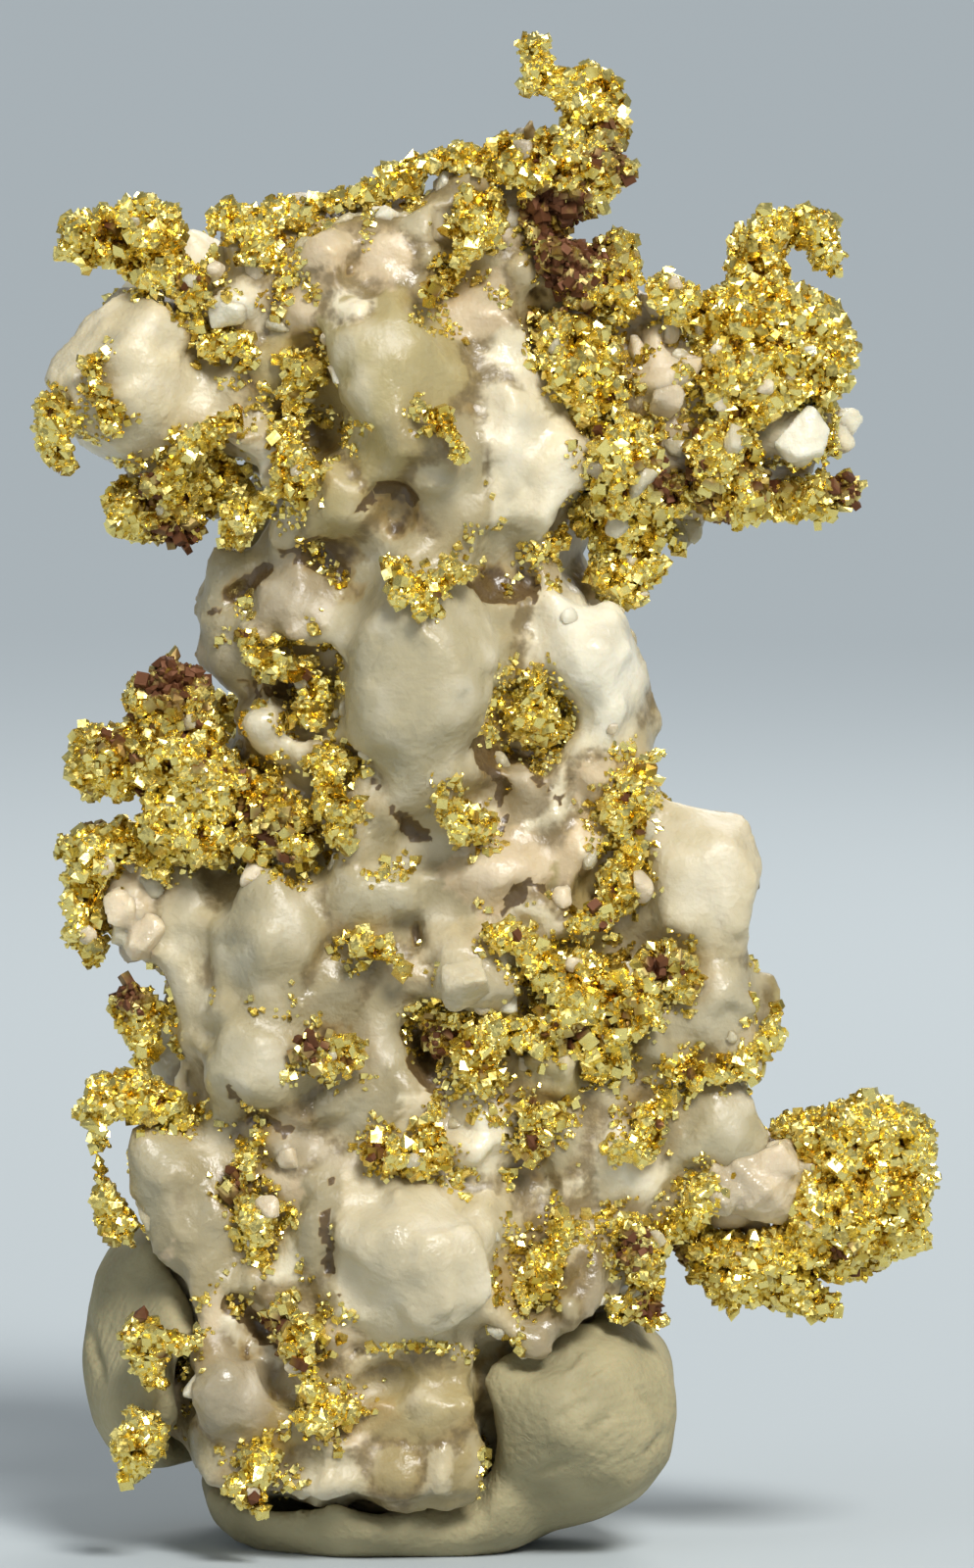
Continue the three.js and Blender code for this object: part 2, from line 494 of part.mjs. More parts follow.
// The putty: pressed up against the specimen's foot on both sides and behind it.
const puttyBlockiness = 2.4;
const puttyLumps = [
  { at: [22.4, -0.6, 5.4], half: [5.5, 7.6, 4.4], lean: -14, fine: 2 },
  { at: [7.4, 0.6, 8.0], half: [4.1, 6.8, 5.2], fine: 2 },
  { at: [15.8, 0.2, 2.8], half: [7.6, 7.0, 4.0], fine: 2, cuts: 3 },
  { at: [14.8, 4.6, 6.2], half: [8.8, 5.0, 6.0], fine: 2 },
];
const underside = { reach: 60, thickness: 20 };

// A repeatable random number from 0 to 1.
function makeRandom(seed) {
  let state = seed >>> 0;
  return () => {
    state = (state + 0x6d2b79f5) >>> 0;
    let mixed = Math.imul(state ^ (state >>> 15), 1 | state);
    mixed = (mixed + Math.imul(mixed ^ (mixed >>> 7), 61 | mixed)) ^ mixed;
    return ((mixed ^ (mixed >>> 14)) >>> 0) / 4294967296;
  };
}

function randomDirection(random) {
  const height = 2 * random() - 1;
  const turn = 2 * Math.PI * random();
  const reach = Math.sqrt(1 - height * height);
  return new THREE.Vector3(reach * Math.cos(turn), reach * Math.sin(turn), height);
}

// Closed geometry with its shared corners merged.
function closed(geometry) {
  geometry.deleteAttribute("normal");
  geometry.deleteAttribute("uv");
  return mergeVertices(geometry, 1e-4);
}

function toSolid(geometry) {
  return new wasm.Manifold(new wasm.Mesh({
    numProp: 3,
    vertProperties: new Float32Array(geometry.attributes.position.array),
    triVerts: new Uint32Array(geometry.index.array),
  }));
}

function toGeometry(solid) {
  const mesh = solid.getMesh();
  const geometry = new THREE.BufferGeometry();
  geometry.setAttribute("position", new THREE.BufferAttribute(new Float32Array(mesh.vertProperties), 3));
  geometry.setIndex(new THREE.BufferAttribute(new Uint32Array(mesh.triVerts), 1));
  return geometry;
}

// Pairs are joined first, so that no join is between a large solid and many small ones.
function joined(solids) {
  let row = solids;
  while (row.length > 1) {
    const next = [];
    for (let i = 0; i < row.length; i += 2) {
      next.push(i + 1 < row.length ? row[i].add(row[i + 1]) : row[i]);
    }
    row = next;
  }
  return row[0];
}

// One crystal: a blocky rounded form with seeded flat faces cut into it, leaning in the front plane.
function crystal(form, seed, grown = 0) {
  const { at, half, lean = 0, fine = 1, cuts = facesPerCrystal, block = blockiness } = form;
  const random = makeRandom(seed);
  const faces = [];
  for (let i = 0; i < cuts; i += 1) {
    faces.push({
      normal: randomDirection(random),
      distance: faceDepth[0] + (faceDepth[1] - faceDepth[0]) * random(),
    });
  }
  const geometry = closed(new THREE.IcosahedronGeometry(1, fine));
  geometry.rotateX(random() * Math.PI);
  geometry.rotateZ(random() * Math.PI);
  const places = geometry.attributes.position;
  const place = new THREE.Vector3();
  for (let i = 0; i < places.count; i += 1) {
    place.fromBufferAttribute(places, i);
    const bulge = ["x", "y", "z"].reduce((sum, axis) => sum + Math.abs(place[axis]) ** block, 0);
    place.multiplyScalar(bulge ** (-1 / block));
    for (const face of faces) {
      const outside = place.dot(face.normal) - face.distance;
      if (outside > 0) place.addScaledVector(face.normal, -outside);
    }
    place.multiplyScalar(1 + quartzRoughness * (random() - 0.5));
    places.setXYZ(i, place.x * (half[0] + grown), place.y * (half[1] + grown), place.z * (half[2] + grown));
  }
  geometry.rotateY(THREE.MathUtils.degToRad(lean));
  geometry.translate(...at);
  return toSolid(geometry);
}

function crystals(rows, firstSeed, grown = 0) {
  return joined(rows.map((row, index) => crystal(row, firstSeed + index, grown)));
}

// One mass of gold: a rounded form with a hackly surface.
function goldMass({ at, depth, half, lean = 0, fine = 1 }, seed, grown = 0) {
  const random = makeRandom(seed);
  const geometry = closed(new THREE.IcosahedronGeometry(1, fine));
  const places = geometry.attributes.position;
  const place = new THREE.Vector3();
  const deep = massDepth * Math.min(...half);
  for (let i = 0; i < places.count; i += 1) {
    place.fromBufferAttribute(places, i);
    const uneven = 1 + massRoughness * (random() - 0.5);
    const reach = [half[0], deep, half[1]].map((value) => value * massFullness * uneven + grown);
    places.setXYZ(i, place.x * reach[0], place.y * reach[1], place.z * reach[2]);
  }
  geometry.rotateY(THREE.MathUtils.degToRad(lean));
  geometry.translate(at[0], depth, at[1]);
  return toSolid(geometry);
}

// One strand of gold: a sphere whose rings are set out along the strand's points.
function goldStrand(points, seed, grown = 0) {
  const random = makeRandom(seed);
  const middles = points.map(({ across, depth, height }) => new THREE.Vector3(across, depth, height));
  const last = points.length - 1;
  const frames = middles.map((middle, index) => {
    const along = middles[Math.min(index + 1, last)].clone().sub(middles[Math.max(index - 1, 0)]).normalize();
    const sideways = along.clone().cross(depthAxis).normalize();
    return { along, sideways, inwards: sideways.clone().cross(along) };
  });
  const rings = points.length + 1;
  const geometry = closed(new THREE.SphereGeometry(1, strandSides, rings));
  const places = geometry.attributes.position;
  const place = new THREE.Vector3();
  for (let i = 0; i < places.count; i += 1) {
    place.fromBufferAttribute(places, i);
    const ring = Math.round((Math.acos(THREE.MathUtils.clamp(place.y, -1, 1)) * rings) / Math.PI);
    const index = THREE.MathUtils.clamp(ring - 1, 0, last);
    const { along, sideways, inwards } = frames[index];
    const reach = points[index].radius + grown;
    const target = middles[index].clone();
    if (ring === 0 || ring === rings) {
      target.addScaledVector(along, ring === 0 ? -reach : reach);
    } else {
      const turn = Math.atan2(place.z, place.x) + index * ringTwist;
      const uneven = 1 + strandRoughness * (random() - 0.5);
      target.addScaledVector(sideways, Math.cos(turn) * reach * uneven);
      target.addScaledVector(inwards, -Math.sin(turn) * reach * uneven);
    }
    places.setXYZ(i, target.x, target.y, target.z);
  }
  return toSolid(geometry);
}

// How deep the quartz lies where a line from the front, or from behind, meets it first.
function surfaceFinder(quartzMesh) {
  const caster = new THREE.Raycaster();
  return (across, height, behind) => {
    const side = behind ? 1 : -1;
    caster.set(new THREE.Vector3(across, side * 50, height), new THREE.Vector3(0, -side, 0));
    const hit = caster.intersectObject(quartzMesh)[0];
    return hit ? hit.point.y : null;
  };
}

// Where the points of a piece lie: on the quartz, or at the piece's own depth where the quartz is behind
// that. A strand's point looks half way to its neighbours too, so that the strand clears a ledge.
function placedPoints(points, piece, surface, lift = strandLift) {
  const side = piece.behind ? 1 : -1;
  const halfWay = (from, to) => [0, 1].map((axis) => (from[axis] + to[axis]) / 2);
  const placed = points.map((point, index) => {
    const samples = [point];
    if (index > 0) samples.push(halfWay(point, points[index - 1]));
    if (index < points.length - 1) samples.push(halfWay(point, points[index + 1]));
    const found = samples.map(([across, height]) => surface(across, height, piece.behind));
    if (piece.depth !== undefined) found.push(piece.depth - side * lift * point[2]);
    const known = found.filter((depth) => depth !== null);
    const nearest = known.length ? side * Math.max(...known.map((depth) => side * depth)) : null;
    const depth = nearest === null ? null : nearest + side * lift * point[2];
    return { across: point[0], height: point[1], radius: point[2] * strandFullness, depth };
  });
  const onQuartz = placed.filter((point) => point.depth !== null);
  const average = onQuartz.length
    ? onQuartz.reduce((sum, point) => sum + point.depth, 0) / onQuartz.length
    : side * edgeDepth;
  for (const point of placed) point.depth ??= average;
  return placed;
}

function goldPiece(piece, surface, firstSeed, grown = 0) {
  const masses = (piece.masses ?? []).map((mass) => {
    const [placed] = placedPoints([[...mass.at, Math.min(...mass.half)]], piece, surface, massLift);
    return { ...mass, depth: placed.depth };
  });
  const strands = (piece.strands ?? []).map((points) => placedPoints(points, piece, surface));
  return joined([
    ...masses.map((mass, index) => goldMass(mass, firstSeed + index, grown)),
    ...strands.map((points, index) => goldStrand(points, firstSeed + masses.length + index, grown)),
  ]);
}

// The largest body of a solid that a cut has parted.
function largest(solid) {
  return solid.decompose().sort((a, b) => b.volume() - a.volume())[0];
}

// Adds the squared distance from a plane to a corner's sum: the upper half of a symmetric 4 by 4 matrix.
function addPlane(sum, normal, offset, weight) {
  const plane = [normal.x, normal.y, normal.z, offset];
  let entry = 0;
  for (let row = 0; row < 4; row += 1) {
    for (let column = row; column < 4; column += 1) {
      sum[entry] += weight * plane[row] * plane[column];
      entry += 1;
    }
  }
}

function planeError(first, second, place) {
  const point = [place.x, place.y, place.z, 1];
  let entry = 0;
  let error = 0;
  for (let row = 0; row < 4; row += 1) {
    for (let column = row; column < 4; column += 1) {
      const twice = row === column ? 1 : 2;
      error += twice * (first[entry] + second[entry]) * point[row] * point[column];
      entry += 1;
    }
  }
  return error;
}

// Draws short and flat edges together, the least change first, until a share of the faces is left.
function thinned(solid, share) {
  const geometry = toGeometry(solid);
  const source = geometry.attributes.position;
  const place = (i) => new THREE.Vector3().fromBufferAttribute(source, i);
  const places = Array.from({ length: source.count }, (_, i) => place(i));
  const faces = [];
  for (let i = 0; i < geometry.index.count; i += 3) {
    faces.push([0, 1, 2].map((corner) => geometry.index.getX(i + corner)));
  }
  const around = places.map(() => new Set());
  const sums = places.map(() => new Array(10).fill(0));
  const triangle = new THREE.Triangle();
  const normal = new THREE.Vector3();
  const normalOf = (corners, moved, target) => {
    const [a, b, c] = corners.map((corner) => (moved.includes(corner) ? target : places[corner]));
    triangle.set(a, b, c);
    return triangle.getNormal(new THREE.Vector3());
  };
  faces.forEach((corners, face) => {
    triangle.set(...corners.map((corner) => places[corner]));
    triangle.getNormal(normal);
    for (const corner of corners) {
      around[corner].add(face);
      addPlane(sums[corner], normal, -normal.dot(triangle.a), triangle.getArea());
    }
  });
  const neighbours = (corner) => {
    const found = new Set();
    for (const face of around[corner]) faces[face].forEach((other) => found.add(other));
    found.delete(corner);
    return found;
  };
  const turnsOver = (a, b, target) => [...around[a], ...around[b]].some((face) => {
    const corners = faces[face];
    if (corners.includes(a) && corners.includes(b)) return false;
    return normalOf(corners, [], null).dot(normalOf(corners, [a, b], target)) < steepestTurn;
  });
  const goal = faces.length * share;
  let left = faces.length;
  let before = Infinity;
  while (left > goal && left < before) {
    before = left;
    const edges = [];
    faces.forEach((corners) => {
      if (!corners) return;
      for (let i = 0; i < 3; i += 1) {
        const [a, b] = [corners[i], corners[(i + 1) % 3]];
        if (a > b) continue;
        const targets = [places[a], places[b], places[a].clone().lerp(places[b], 0.5)];
        const errors = targets.map((target) => planeError(sums[a], sums[b], target));
        const least = errors.indexOf(Math.min(...errors));
        edges.push({ a, b, target: targets[least].clone(), error: errors[least] });
      }
    });
    edges.sort((first, second) => first.error - second.error);
    const touched = new Set();
    for (const { a, b, target } of edges.slice(0, Math.ceil(edges.length / 4))) {
      if (left <= goal) break;
      if (touched.has(a) || touched.has(b)) continue;
      const beside = neighbours(b);
      const shared = [...neighbours(a)].filter((corner) => beside.has(corner));
      if (shared.length !== 2 || turnsOver(a, b, target)) continue;
      for (const face of [...around[b]]) {
        if (faces[face].includes(a)) {
          faces[face].forEach((corner) => around[corner].delete(face));
          faces[face] = null;
          left -= 1;
        } else {
          faces[face] = faces[face].map((corner) => (corner === b ? a : corner));
          around[a].add(face);
        }
      }
      around[b].clear();
      places[a].copy(target);
      sums[a] = sums[a].map((value, entry) => value + sums[b][entry]);
      neighbours(a).forEach((corner) => touched.add(corner));
      touched.add(a);
      touched.add(b);
    }
  }
  const thin = new THREE.BufferGeometry().setFromPoints(places);
  thin.setIndex(faces.filter((corners) => corners).flat());
  return mergeVertices(thin, 1e-4);
}

function putty(grownSpecimen) {
  const rows = puttyLumps.map((row) => ({ ...row, block: puttyBlockiness }));
  const lumps = crystals(rows, seeds.putty);
  const below = new THREE.BoxGeometry(underside.reach, underside.reach, underside.thickness);
  below.translate(underside.reach / 4, 0, tableHeight - underside.thickness / 2);
  return largest(lumps.subtract(toSolid(closed(below))).subtract(grownSpecimen));
}

const materials = {
  quartz: new THREE.MeshStandardMaterial({ color: colours.quartz, roughness: 0.45, metalness: 0 }),
  gold: new THREE.MeshStandardMaterial({ color: colours.gold, roughness: 0.35, metalness: 1 }),
  putty: new THREE.MeshStandardMaterial({ color: colours.putty, roughness: 0.85, metalness: 0 }),
};

function buildSpecimen() {
  const rows = Object.values(quartzCrystals).flat();
  const quartz = largest(crystals(rows, seeds.quartz));
  const quartzGrown = crystals(rows, seeds.quartz, gap);
  const lobeQuartz = crystals(lobeCrystals, seeds.lobe);
  const lobeQuartzGrown = crystals(lobeCrystals, seeds.lobe, gap);
  const surface = surfaceFinder(new THREE.Mesh(toGeometry(quartz.add(lobeQuartz)), materials.quartz));

  const group = new THREE.Group();
  const add = (name, solid, finish) => {
    const mesh = new THREE.Mesh(thinned(solid, kept[finish]), materials[finish]);
    mesh.name = name;
    group.add(mesh);
  };
  add("quartz", quartz, "quartz");
  add("lobe_quartz", largest(lobeQuartz.subtract(quartzGrown)), "quartz");
  let taken = quartzGrown.add(lobeQuartzGrown);
  Object.entries(goldPieces).forEach(([name, piece], index) => {
    const seed = seeds.gold + seeds.perPiece * index;
    add(name, largest(goldPiece(piece, surface, seed).subtract(taken)), "gold");
    taken = taken.add(goldPiece(piece, surface, seed, gap));
  });
  add("putty", putty(taken), "putty");

  const box = new THREE.Box3().setFromObject(group);
  const middle = box.getCenter(new THREE.Vector3());
  group.position.set(-middle.x, -middle.y, -box.min.z);
  return group;
}

export default buildSpecimen();
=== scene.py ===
import math
import bmesh
import bpy
import numpy as np
from mathutils import Matrix, Vector
from mathutils.bvhtree import BVHTree
from mathutils.kdtree import KDTree


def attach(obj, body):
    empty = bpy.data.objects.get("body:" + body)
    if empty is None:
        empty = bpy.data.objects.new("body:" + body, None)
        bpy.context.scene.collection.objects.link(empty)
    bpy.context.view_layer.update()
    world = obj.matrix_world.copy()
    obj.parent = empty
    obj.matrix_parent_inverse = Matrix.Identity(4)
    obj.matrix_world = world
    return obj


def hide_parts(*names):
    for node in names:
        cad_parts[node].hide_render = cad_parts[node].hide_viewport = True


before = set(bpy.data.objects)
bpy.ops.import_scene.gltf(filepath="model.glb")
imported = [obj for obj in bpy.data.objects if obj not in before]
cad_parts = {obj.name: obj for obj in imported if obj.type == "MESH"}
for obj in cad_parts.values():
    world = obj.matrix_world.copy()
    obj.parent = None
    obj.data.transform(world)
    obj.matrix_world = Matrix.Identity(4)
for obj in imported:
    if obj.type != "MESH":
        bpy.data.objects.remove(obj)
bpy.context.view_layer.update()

# Lengths are millimetres while a piece is made, and metres once it is in place.
# Places in the lists are [across, height], across from a line just left of the specimen.
millimetre = 0.001
middleAcross = 19.76


# Noise that is the same in every run

def cellHash(cells, seed):  # a number from 0 to 1 for each whole-numbered cell
    mixed = cells[..., 0] * 374761393 + cells[..., 1] * 668265263 + cells[..., 2] * 1440662683
    mixed = (mixed + seed * 1274126177) & 0xFFFFFFFF
    mixed = ((mixed ^ (mixed >> 15)) * 2246822519) & 0xFFFFFFFF
    mixed = ((mixed ^ (mixed >> 13)) * 3266489917) & 0xFFFFFFFF
    return (mixed ^ (mixed >> 16)) / 4294967296


def threeHashes(cells, seed):
    return np.stack([cellHash(cells, seed + axis) for axis in range(3)], axis=1)


def keysOf(numbers, second, third):  # numbers as cells, to draw from cellHash
    return np.stack([numbers, numbers * 0 + second, numbers * 0 + third], axis=1)


def neighbours(cell):  # the cell itself and the 26 round it
    for step in range(27):
        yield cell + np.array([step % 3 - 1, step // 3 % 3 - 1, step // 9 - 1])


def softNoise(places, size, seed):  # from -1 to 1
    scaled = places / size
    cell = np.floor(scaled).astype(np.int64)
    part = scaled - cell
    part = part * part * part * (part * (part * 6 - 15) + 10)
    total = np.zeros(len(places))
    for corner in range(8):
        offset = np.array([corner & 1, corner >> 1 & 1, corner >> 2])
        weight = np.prod(np.where(offset == 1, part, 1 - part), axis=1)
        total += weight * cellHash(cell + offset, seed)
    return total * 2 - 1


def layeredNoise(places, size, seed, layers=3):
    total = np.zeros(len(places))
    share = 1.0
    for layer in range(layers):
        total += share * softNoise(places, size / 2 ** layer, seed + layer)
        share *= 0.5
    return total / (2 - 2 * share)


def cellNoise(places, size, seed):  # the nearest and second nearest of scattered points
    scaled = places / size
    cell = np.floor(scaled).astype(np.int64)
    nearest = np.full(len(places), 9.0)
    second = np.full(len(places), 9.0)
    owner = np.zeros((len(places), 3), np.int64)
    centre = np.zeros((len(places), 3))
    for other in neighbours(cell):
        spot = other + threeHashes(other, seed)
        distance = np.linalg.norm(spot - scaled, axis=1)
        closer = distance < nearest
        second = np.where(closer, nearest, np.minimum(second, distance))
        nearest = np.minimum(nearest, distance)
        owner[closer] = other[closer]
        centre[closer] = spot[closer]
    return {"nearest": nearest, "edge": second - nearest, "owner": owner, "away": (scaled - centre) * size}


def waves(places, form, seed, layers=3):
    size, height = form
    return height * layeredNoise(places, size, seed, layers)


def brokenFaces(places, form, seed):  # each cell is a flat face of its own height and tilt
    size, step, tilt = form
    cells = cellNoise(places, size, seed)
    level = cellHash(cells["owner"], seed + 7) - 0.5
    slope = threeHashes(cells["owner"], seed + 11) * 2 - 1
    return step * level + tilt * (slope * cells["away"]).sum(axis=1)


def smoothStep(value, low, high):
    part = np.clip((value - low) / (high - low), 0, 1)
    return part * part * (3 - 2 * part)


# Meshes

def newObject(name, mesh):
    piece = bpy.data.objects.new(name, mesh)
    bpy.context.scene.collection.objects.link(piece)
    return piece


def nodeCopy(name, nodeNames):  # CAD nodes as one mesh in millimetres, corners merged
    shape = bmesh.new()
    for nodeName in nodeNames:
        shape.from_mesh(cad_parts[nodeName].data)
    bmesh.ops.scale(shape, vec=(1 / millimetre,) * 3, verts=shape.verts)
    bmesh.ops.remove_doubles(shape, verts=shape.verts, dist=0.002)
    mesh = bpy.data.meshes.new(name)
    shape.to_mesh(mesh)
    shape.free()
    return newObject(name, mesh)


def applyModifiers(piece):
    depsgraph = bpy.context.evaluated_depsgraph_get()
    depsgraph.update()
    mesh = bpy.data.meshes.new_from_object(piece.evaluated_get(depsgraph), depsgraph=depsgraph)
    old = piece.data
    piece.modifiers.clear()
    piece.data = mesh
    mesh.name = piece.name
    bpy.data.meshes.remove(old)


def evenGrid(piece, pitch):  # the same shape in even little faces
    modifier = piece.modifiers.new("evenGrid", "REMESH")
    modifier.mode = "VOXEL"
    modifier.voxel_size = pitch
    applyModifiers(piece)


def readValues(items, name, width, kind=np.float32):
    values = np.empty(len(items) * width, kind)
    items.foreach_get(name, values)
    return values.reshape(-1, width)


def readPlaces(mesh):
    return readValues(mesh.vertices, "co", 3).astype(float)


def writePlaces(mesh, places):
    mesh.vertices.foreach_set("co", places.astype(np.float32).ravel())
    mesh.update()


def readNormals(mesh):
    return readValues(mesh.vertex_normals, "vector", 3).astype(float)


def readEdges(mesh):
    return readValues(mesh.edges, "vertices", 2, np.int32)


def smoothed(places, edges, rounds, share=0.5):
    count = len(places)
    joins = np.bincount(edges.ravel(), minlength=count)[:, None]
    moved = places.copy()
    for _ in range(rounds):
        total = np.empty_like(moved)
        for axis in range(3):
            total[:, axis] = np.bincount(edges[:, 0], moved[edges[:, 1], axis], count)
            total[:, axis] += np.bincount(edges[:, 1], moved[edges[:, 0], axis], count)
        moved += share * (total / joins - moved)
    return moved


def spread(values, edges, rounds):  # the same for one number a corner
    return smoothed(np.repeat(values[:, None], 3, axis=1), edges, rounds)[:, 0]


def storeValues(mesh, name, values):
    attribute = mesh.attributes.get(name) or mesh.attributes.new(name, "FLOAT", "POINT")
    attribute.data.foreach_set("value", values.astype(np.float32))


def storeColours(mesh, name, colours):
    attribute = mesh.attributes.get(name) or mesh.attributes.new(name, "FLOAT_COLOR", "POINT")
    full = np.ones((len(colours), 4), np.float32)
    full[:, :3] = colours
    attribute.data.foreach_set("color", full.ravel())


def evenSurface(piece, pitch, rounds, share=0.5):  # in even little faces, and smoothed
    evenGrid(piece, pitch)
    mesh = piece.data
    edges = readEdges(mesh)
    places = smoothed(readPlaces(mesh), edges, rounds, share)
    writePlaces(mesh, places)
    return mesh, edges, places, readNormals(mesh)


def surfaceTree(pieces):
    corners, faces = [], []
    for piece in pieces:
        start = len(corners)
        corners.extend(v.co.copy() for v in piece.data.vertices)
        faces.extend([start + i for i in face.vertices] for face in piece.data.polygons)
    return BVHTree.FromPolygons(corners, faces)


def distancesTo(tree, places, limit):
    found = np.full(len(places), limit)
    for i, place in enumerate(places):
        hit = tree.find_nearest(Vector(place), limit)
        if hit[3] is not None:
            found[i] = hit[3]
    return found


def carriedOver(before, after, values):  # each new corner takes the values of the old corner nearest to it
    tree = KDTree(len(before))
    for i, place in enumerate(before):
        tree.insert(place, i)
    tree.balance()
    nearest = np.array([tree.find(place)[1] for place in after])
    return [value[nearest] for value in values]


def lineDistance(places, start, end):  # how far from a line seen from the front, and how far along it
    along = np.array(end) - np.array(start)
    across = places[:, 0] + middleAcross - start[0]
    height = places[:, 2] - start[1]
    part = np.clip((across * along[0] + height * along[1]) / (along @ along), 0, 1)
    return np.hypot(across - part * along[0], height - part * along[1]), part


def spotWeights(places, across, height, radius):  # how near each corner is to a spot seen from the front
    away = np.hypot(places[:, 0] + middleAcross - across, places[:, 2] - height)
    return np.exp(-(away / radius) ** 2)


def placeInFrame(piece, finish, slot, *nodes):  # from millimetres to metres, and onto the body
    piece.data.transform(Matrix.Diagonal((millimetre, millimetre, millimetre, 1)))
    piece.data.materials.clear()
    piece.data.materials.append(finish)
    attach(piece, "root")
    if nodes:
        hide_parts(*nodes)
    print(piece.name, len(piece.data.polygons), "faces")


# Nodes

def setInput(tree, target, value):  # a link or a fixed value
    if isinstance(value, bpy.types.NodeSocket):
        tree.links.new(value, target)
    elif value is not None:
        target.default_value = value


def addNode(tree, kind, values=None, **settings):
    node = tree.nodes.new(kind)
    for name, value in settings.items():
        setattr(node, name, value)
    for name, value in (values or {}).items():
        setInput(tree, next(s for s in node.inputs if s.enabled and s.name == name), value)
    return node


def result(node, name=None):
    return next(s for s in node.outputs if s.enabled and (name is None or s.name == name))


def randomNode(tree, low, high, seed, kind="FLOAT"):
    values = {"Min": low, "Max": high, "Seed": seed}
    return result(addNode(tree, "FunctionNodeRandomValue", values, data_type=kind))


def mathNode(tree, operation, *values):
    node = addNode(tree, "ShaderNodeMath", operation=operation)
    for i, value in enumerate(values):
        setInput(tree, node.inputs[i], value)
    return node.outputs[0]


def vectorNode(tree, operation, first, second, output="Vector"):
    node = addNode(tree, "ShaderNodeVectorMath", operation=operation)
    setInput(tree, node.inputs[0], first)
    setInput(tree, node.inputs["Scale" if operation == "SCALE" else 1], second)
    return node.outputs[output]


# Small crystals grown over a surface: how uneven the two lumps are, the side of the cube,
# how all are stretched and turned, how many are tried, and how much smaller most are than the largest
crystalShapes = {
    "uneven": (0.3, 0.35), "block": 1.4, "stretch": (0.65, 1.35), "turn": 6.283, "crowding": 3.0,
    "mostlySmall": 2.2,
}


def hacklyLump(tree, lump, reach, seed):  # the corners of a lump moved at random
    offset = randomNode(tree, (-reach,) * 3, (reach,) * 3, seed, "FLOAT_VECTOR")
    return result(addNode(tree, "GeometryNodeSetPosition", {"Geometry": lump, "Offset": offset}))


def grownCrystalsTree():
    tree = bpy.data.node_groups.new("grownCrystals", "GeometryNodeTree")
    inputs = {
        "Surface": "Geometry", "Spacing": "Float", "Smallest": "Float", "Largest": "Float",
        "Keep Surface": "Bool", "Finish": "Material", "Seed": "Int",
    }
    for name, kind in inputs.items():
        tree.interface.new_socket(name, in_out="INPUT", socket_type="NodeSocket" + kind)
    tree.interface.new_socket("Crystals", in_out="OUTPUT", socket_type="NodeSocketGeometry")
    given = tree.nodes.new("NodeGroupInput").outputs
    cover = addNode(tree, "GeometryNodeInputNamedAttribute", {"Name": "cover"}, data_type="FLOAT")
    perArea = mathNode(tree, "MULTIPLY", given["Spacing"], given["Spacing"])
    scatter = addNode(tree, "GeometryNodeDistributePointsOnFaces", {
        "Mesh": given["Surface"], "Distance Min": given["Spacing"], "Seed": given["Seed"],
        "Density Max": mathNode(tree, "DIVIDE", crystalShapes["crowding"], perArea),
        "Density Factor": result(cover, "Attribute"),
    }, distribute_method="POISSON")
    lump = result(addNode(tree, "GeometryNodeMeshIcoSphere", {"Radius": 1.0, "Subdivisions": 1}), "Mesh")
    block = result(addNode(tree, "GeometryNodeMeshCube", {"Size": (crystalShapes["block"],) * 3}), "Mesh")
    first, second = crystalShapes["uneven"]
    kinds = tree.nodes.new("GeometryNodeJoinGeometry")
    for form in (hacklyLump(tree, lump, first, 5), block, hacklyLump(tree, lump, second, 8)):
        kind = addNode(tree, "GeometryNodeGeometryToInstance", {"Geometry": form})
        tree.links.new(result(kind), kinds.inputs[0])
    mostlySmall = mathNode(tree, "POWER", randomNode(tree, 0.0, 1.0, 3), crystalShapes["mostlySmall"])
    span = mathNode(tree, "SUBTRACT", given["Largest"], given["Smallest"])
    size = mathNode(tree, "MULTIPLY_ADD", mostlySmall, span, given["Smallest"])
    least, most = crystalShapes["stretch"]
    stretch = randomNode(tree, (least,) * 3, (most,) * 3, 4, "FLOAT_VECTOR")
    # Each crystal gets a random tone. The surface between the crystals gets none, reads 0 in the gold finish
    # and is drawn darker there, as painted shade in the gaps.
    tinted = addNode(
        tree, "GeometryNodeStoreNamedAttribute",
        {"Geometry": result(scatter, "Points"), "Name": "grainToneAndGapShade", "Value": randomNode(tree, 0.0, 1.0, 6)},
        data_type="FLOAT", domain="POINT",
    )
    placed = addNode(tree, "GeometryNodeInstanceOnPoints", {
        "Points": result(tinted), "Instance": result(kinds), "Pick Instance": True,
        "Instance Index": randomNode(tree, 0, 2, 1, "INT"),
        "Scale": vectorNode(tree, "SCALE", stretch, size),
        "Rotation": randomNode(tree, (0.0,) * 3, (crystalShapes["turn"],) * 3, 2, "FLOAT_VECTOR"),
    })
    loose = addNode(tree, "GeometryNodeRealizeInstances", {"Geometry": result(placed)})
    both = tree.nodes.new("GeometryNodeJoinGeometry")
    tree.links.new(given["Surface"], both.inputs[0])
    tree.links.new(result(loose), both.inputs[0])
    kept = addNode(tree, "GeometryNodeSwitch", {
        "Switch": given["Keep Surface"], "False": result(loose), "True": result(both),
    }, input_type="GEOMETRY")
    flat = addNode(tree, "GeometryNodeSetShadeSmooth", {"Geometry": result(kept), "Shade Smooth": False})
    solid = addNode(tree, "GeometryNodeRealizeInstances", {"Geometry": result(flat)})
    values = {"Geometry": result(solid), "Material": given["Finish"]}
    finished = addNode(tree, "GeometryNodeSetMaterial", values)
    tree.links.new(result(finished), tree.nodes.new("NodeGroupOutput").inputs["Crystals"])
    return tree


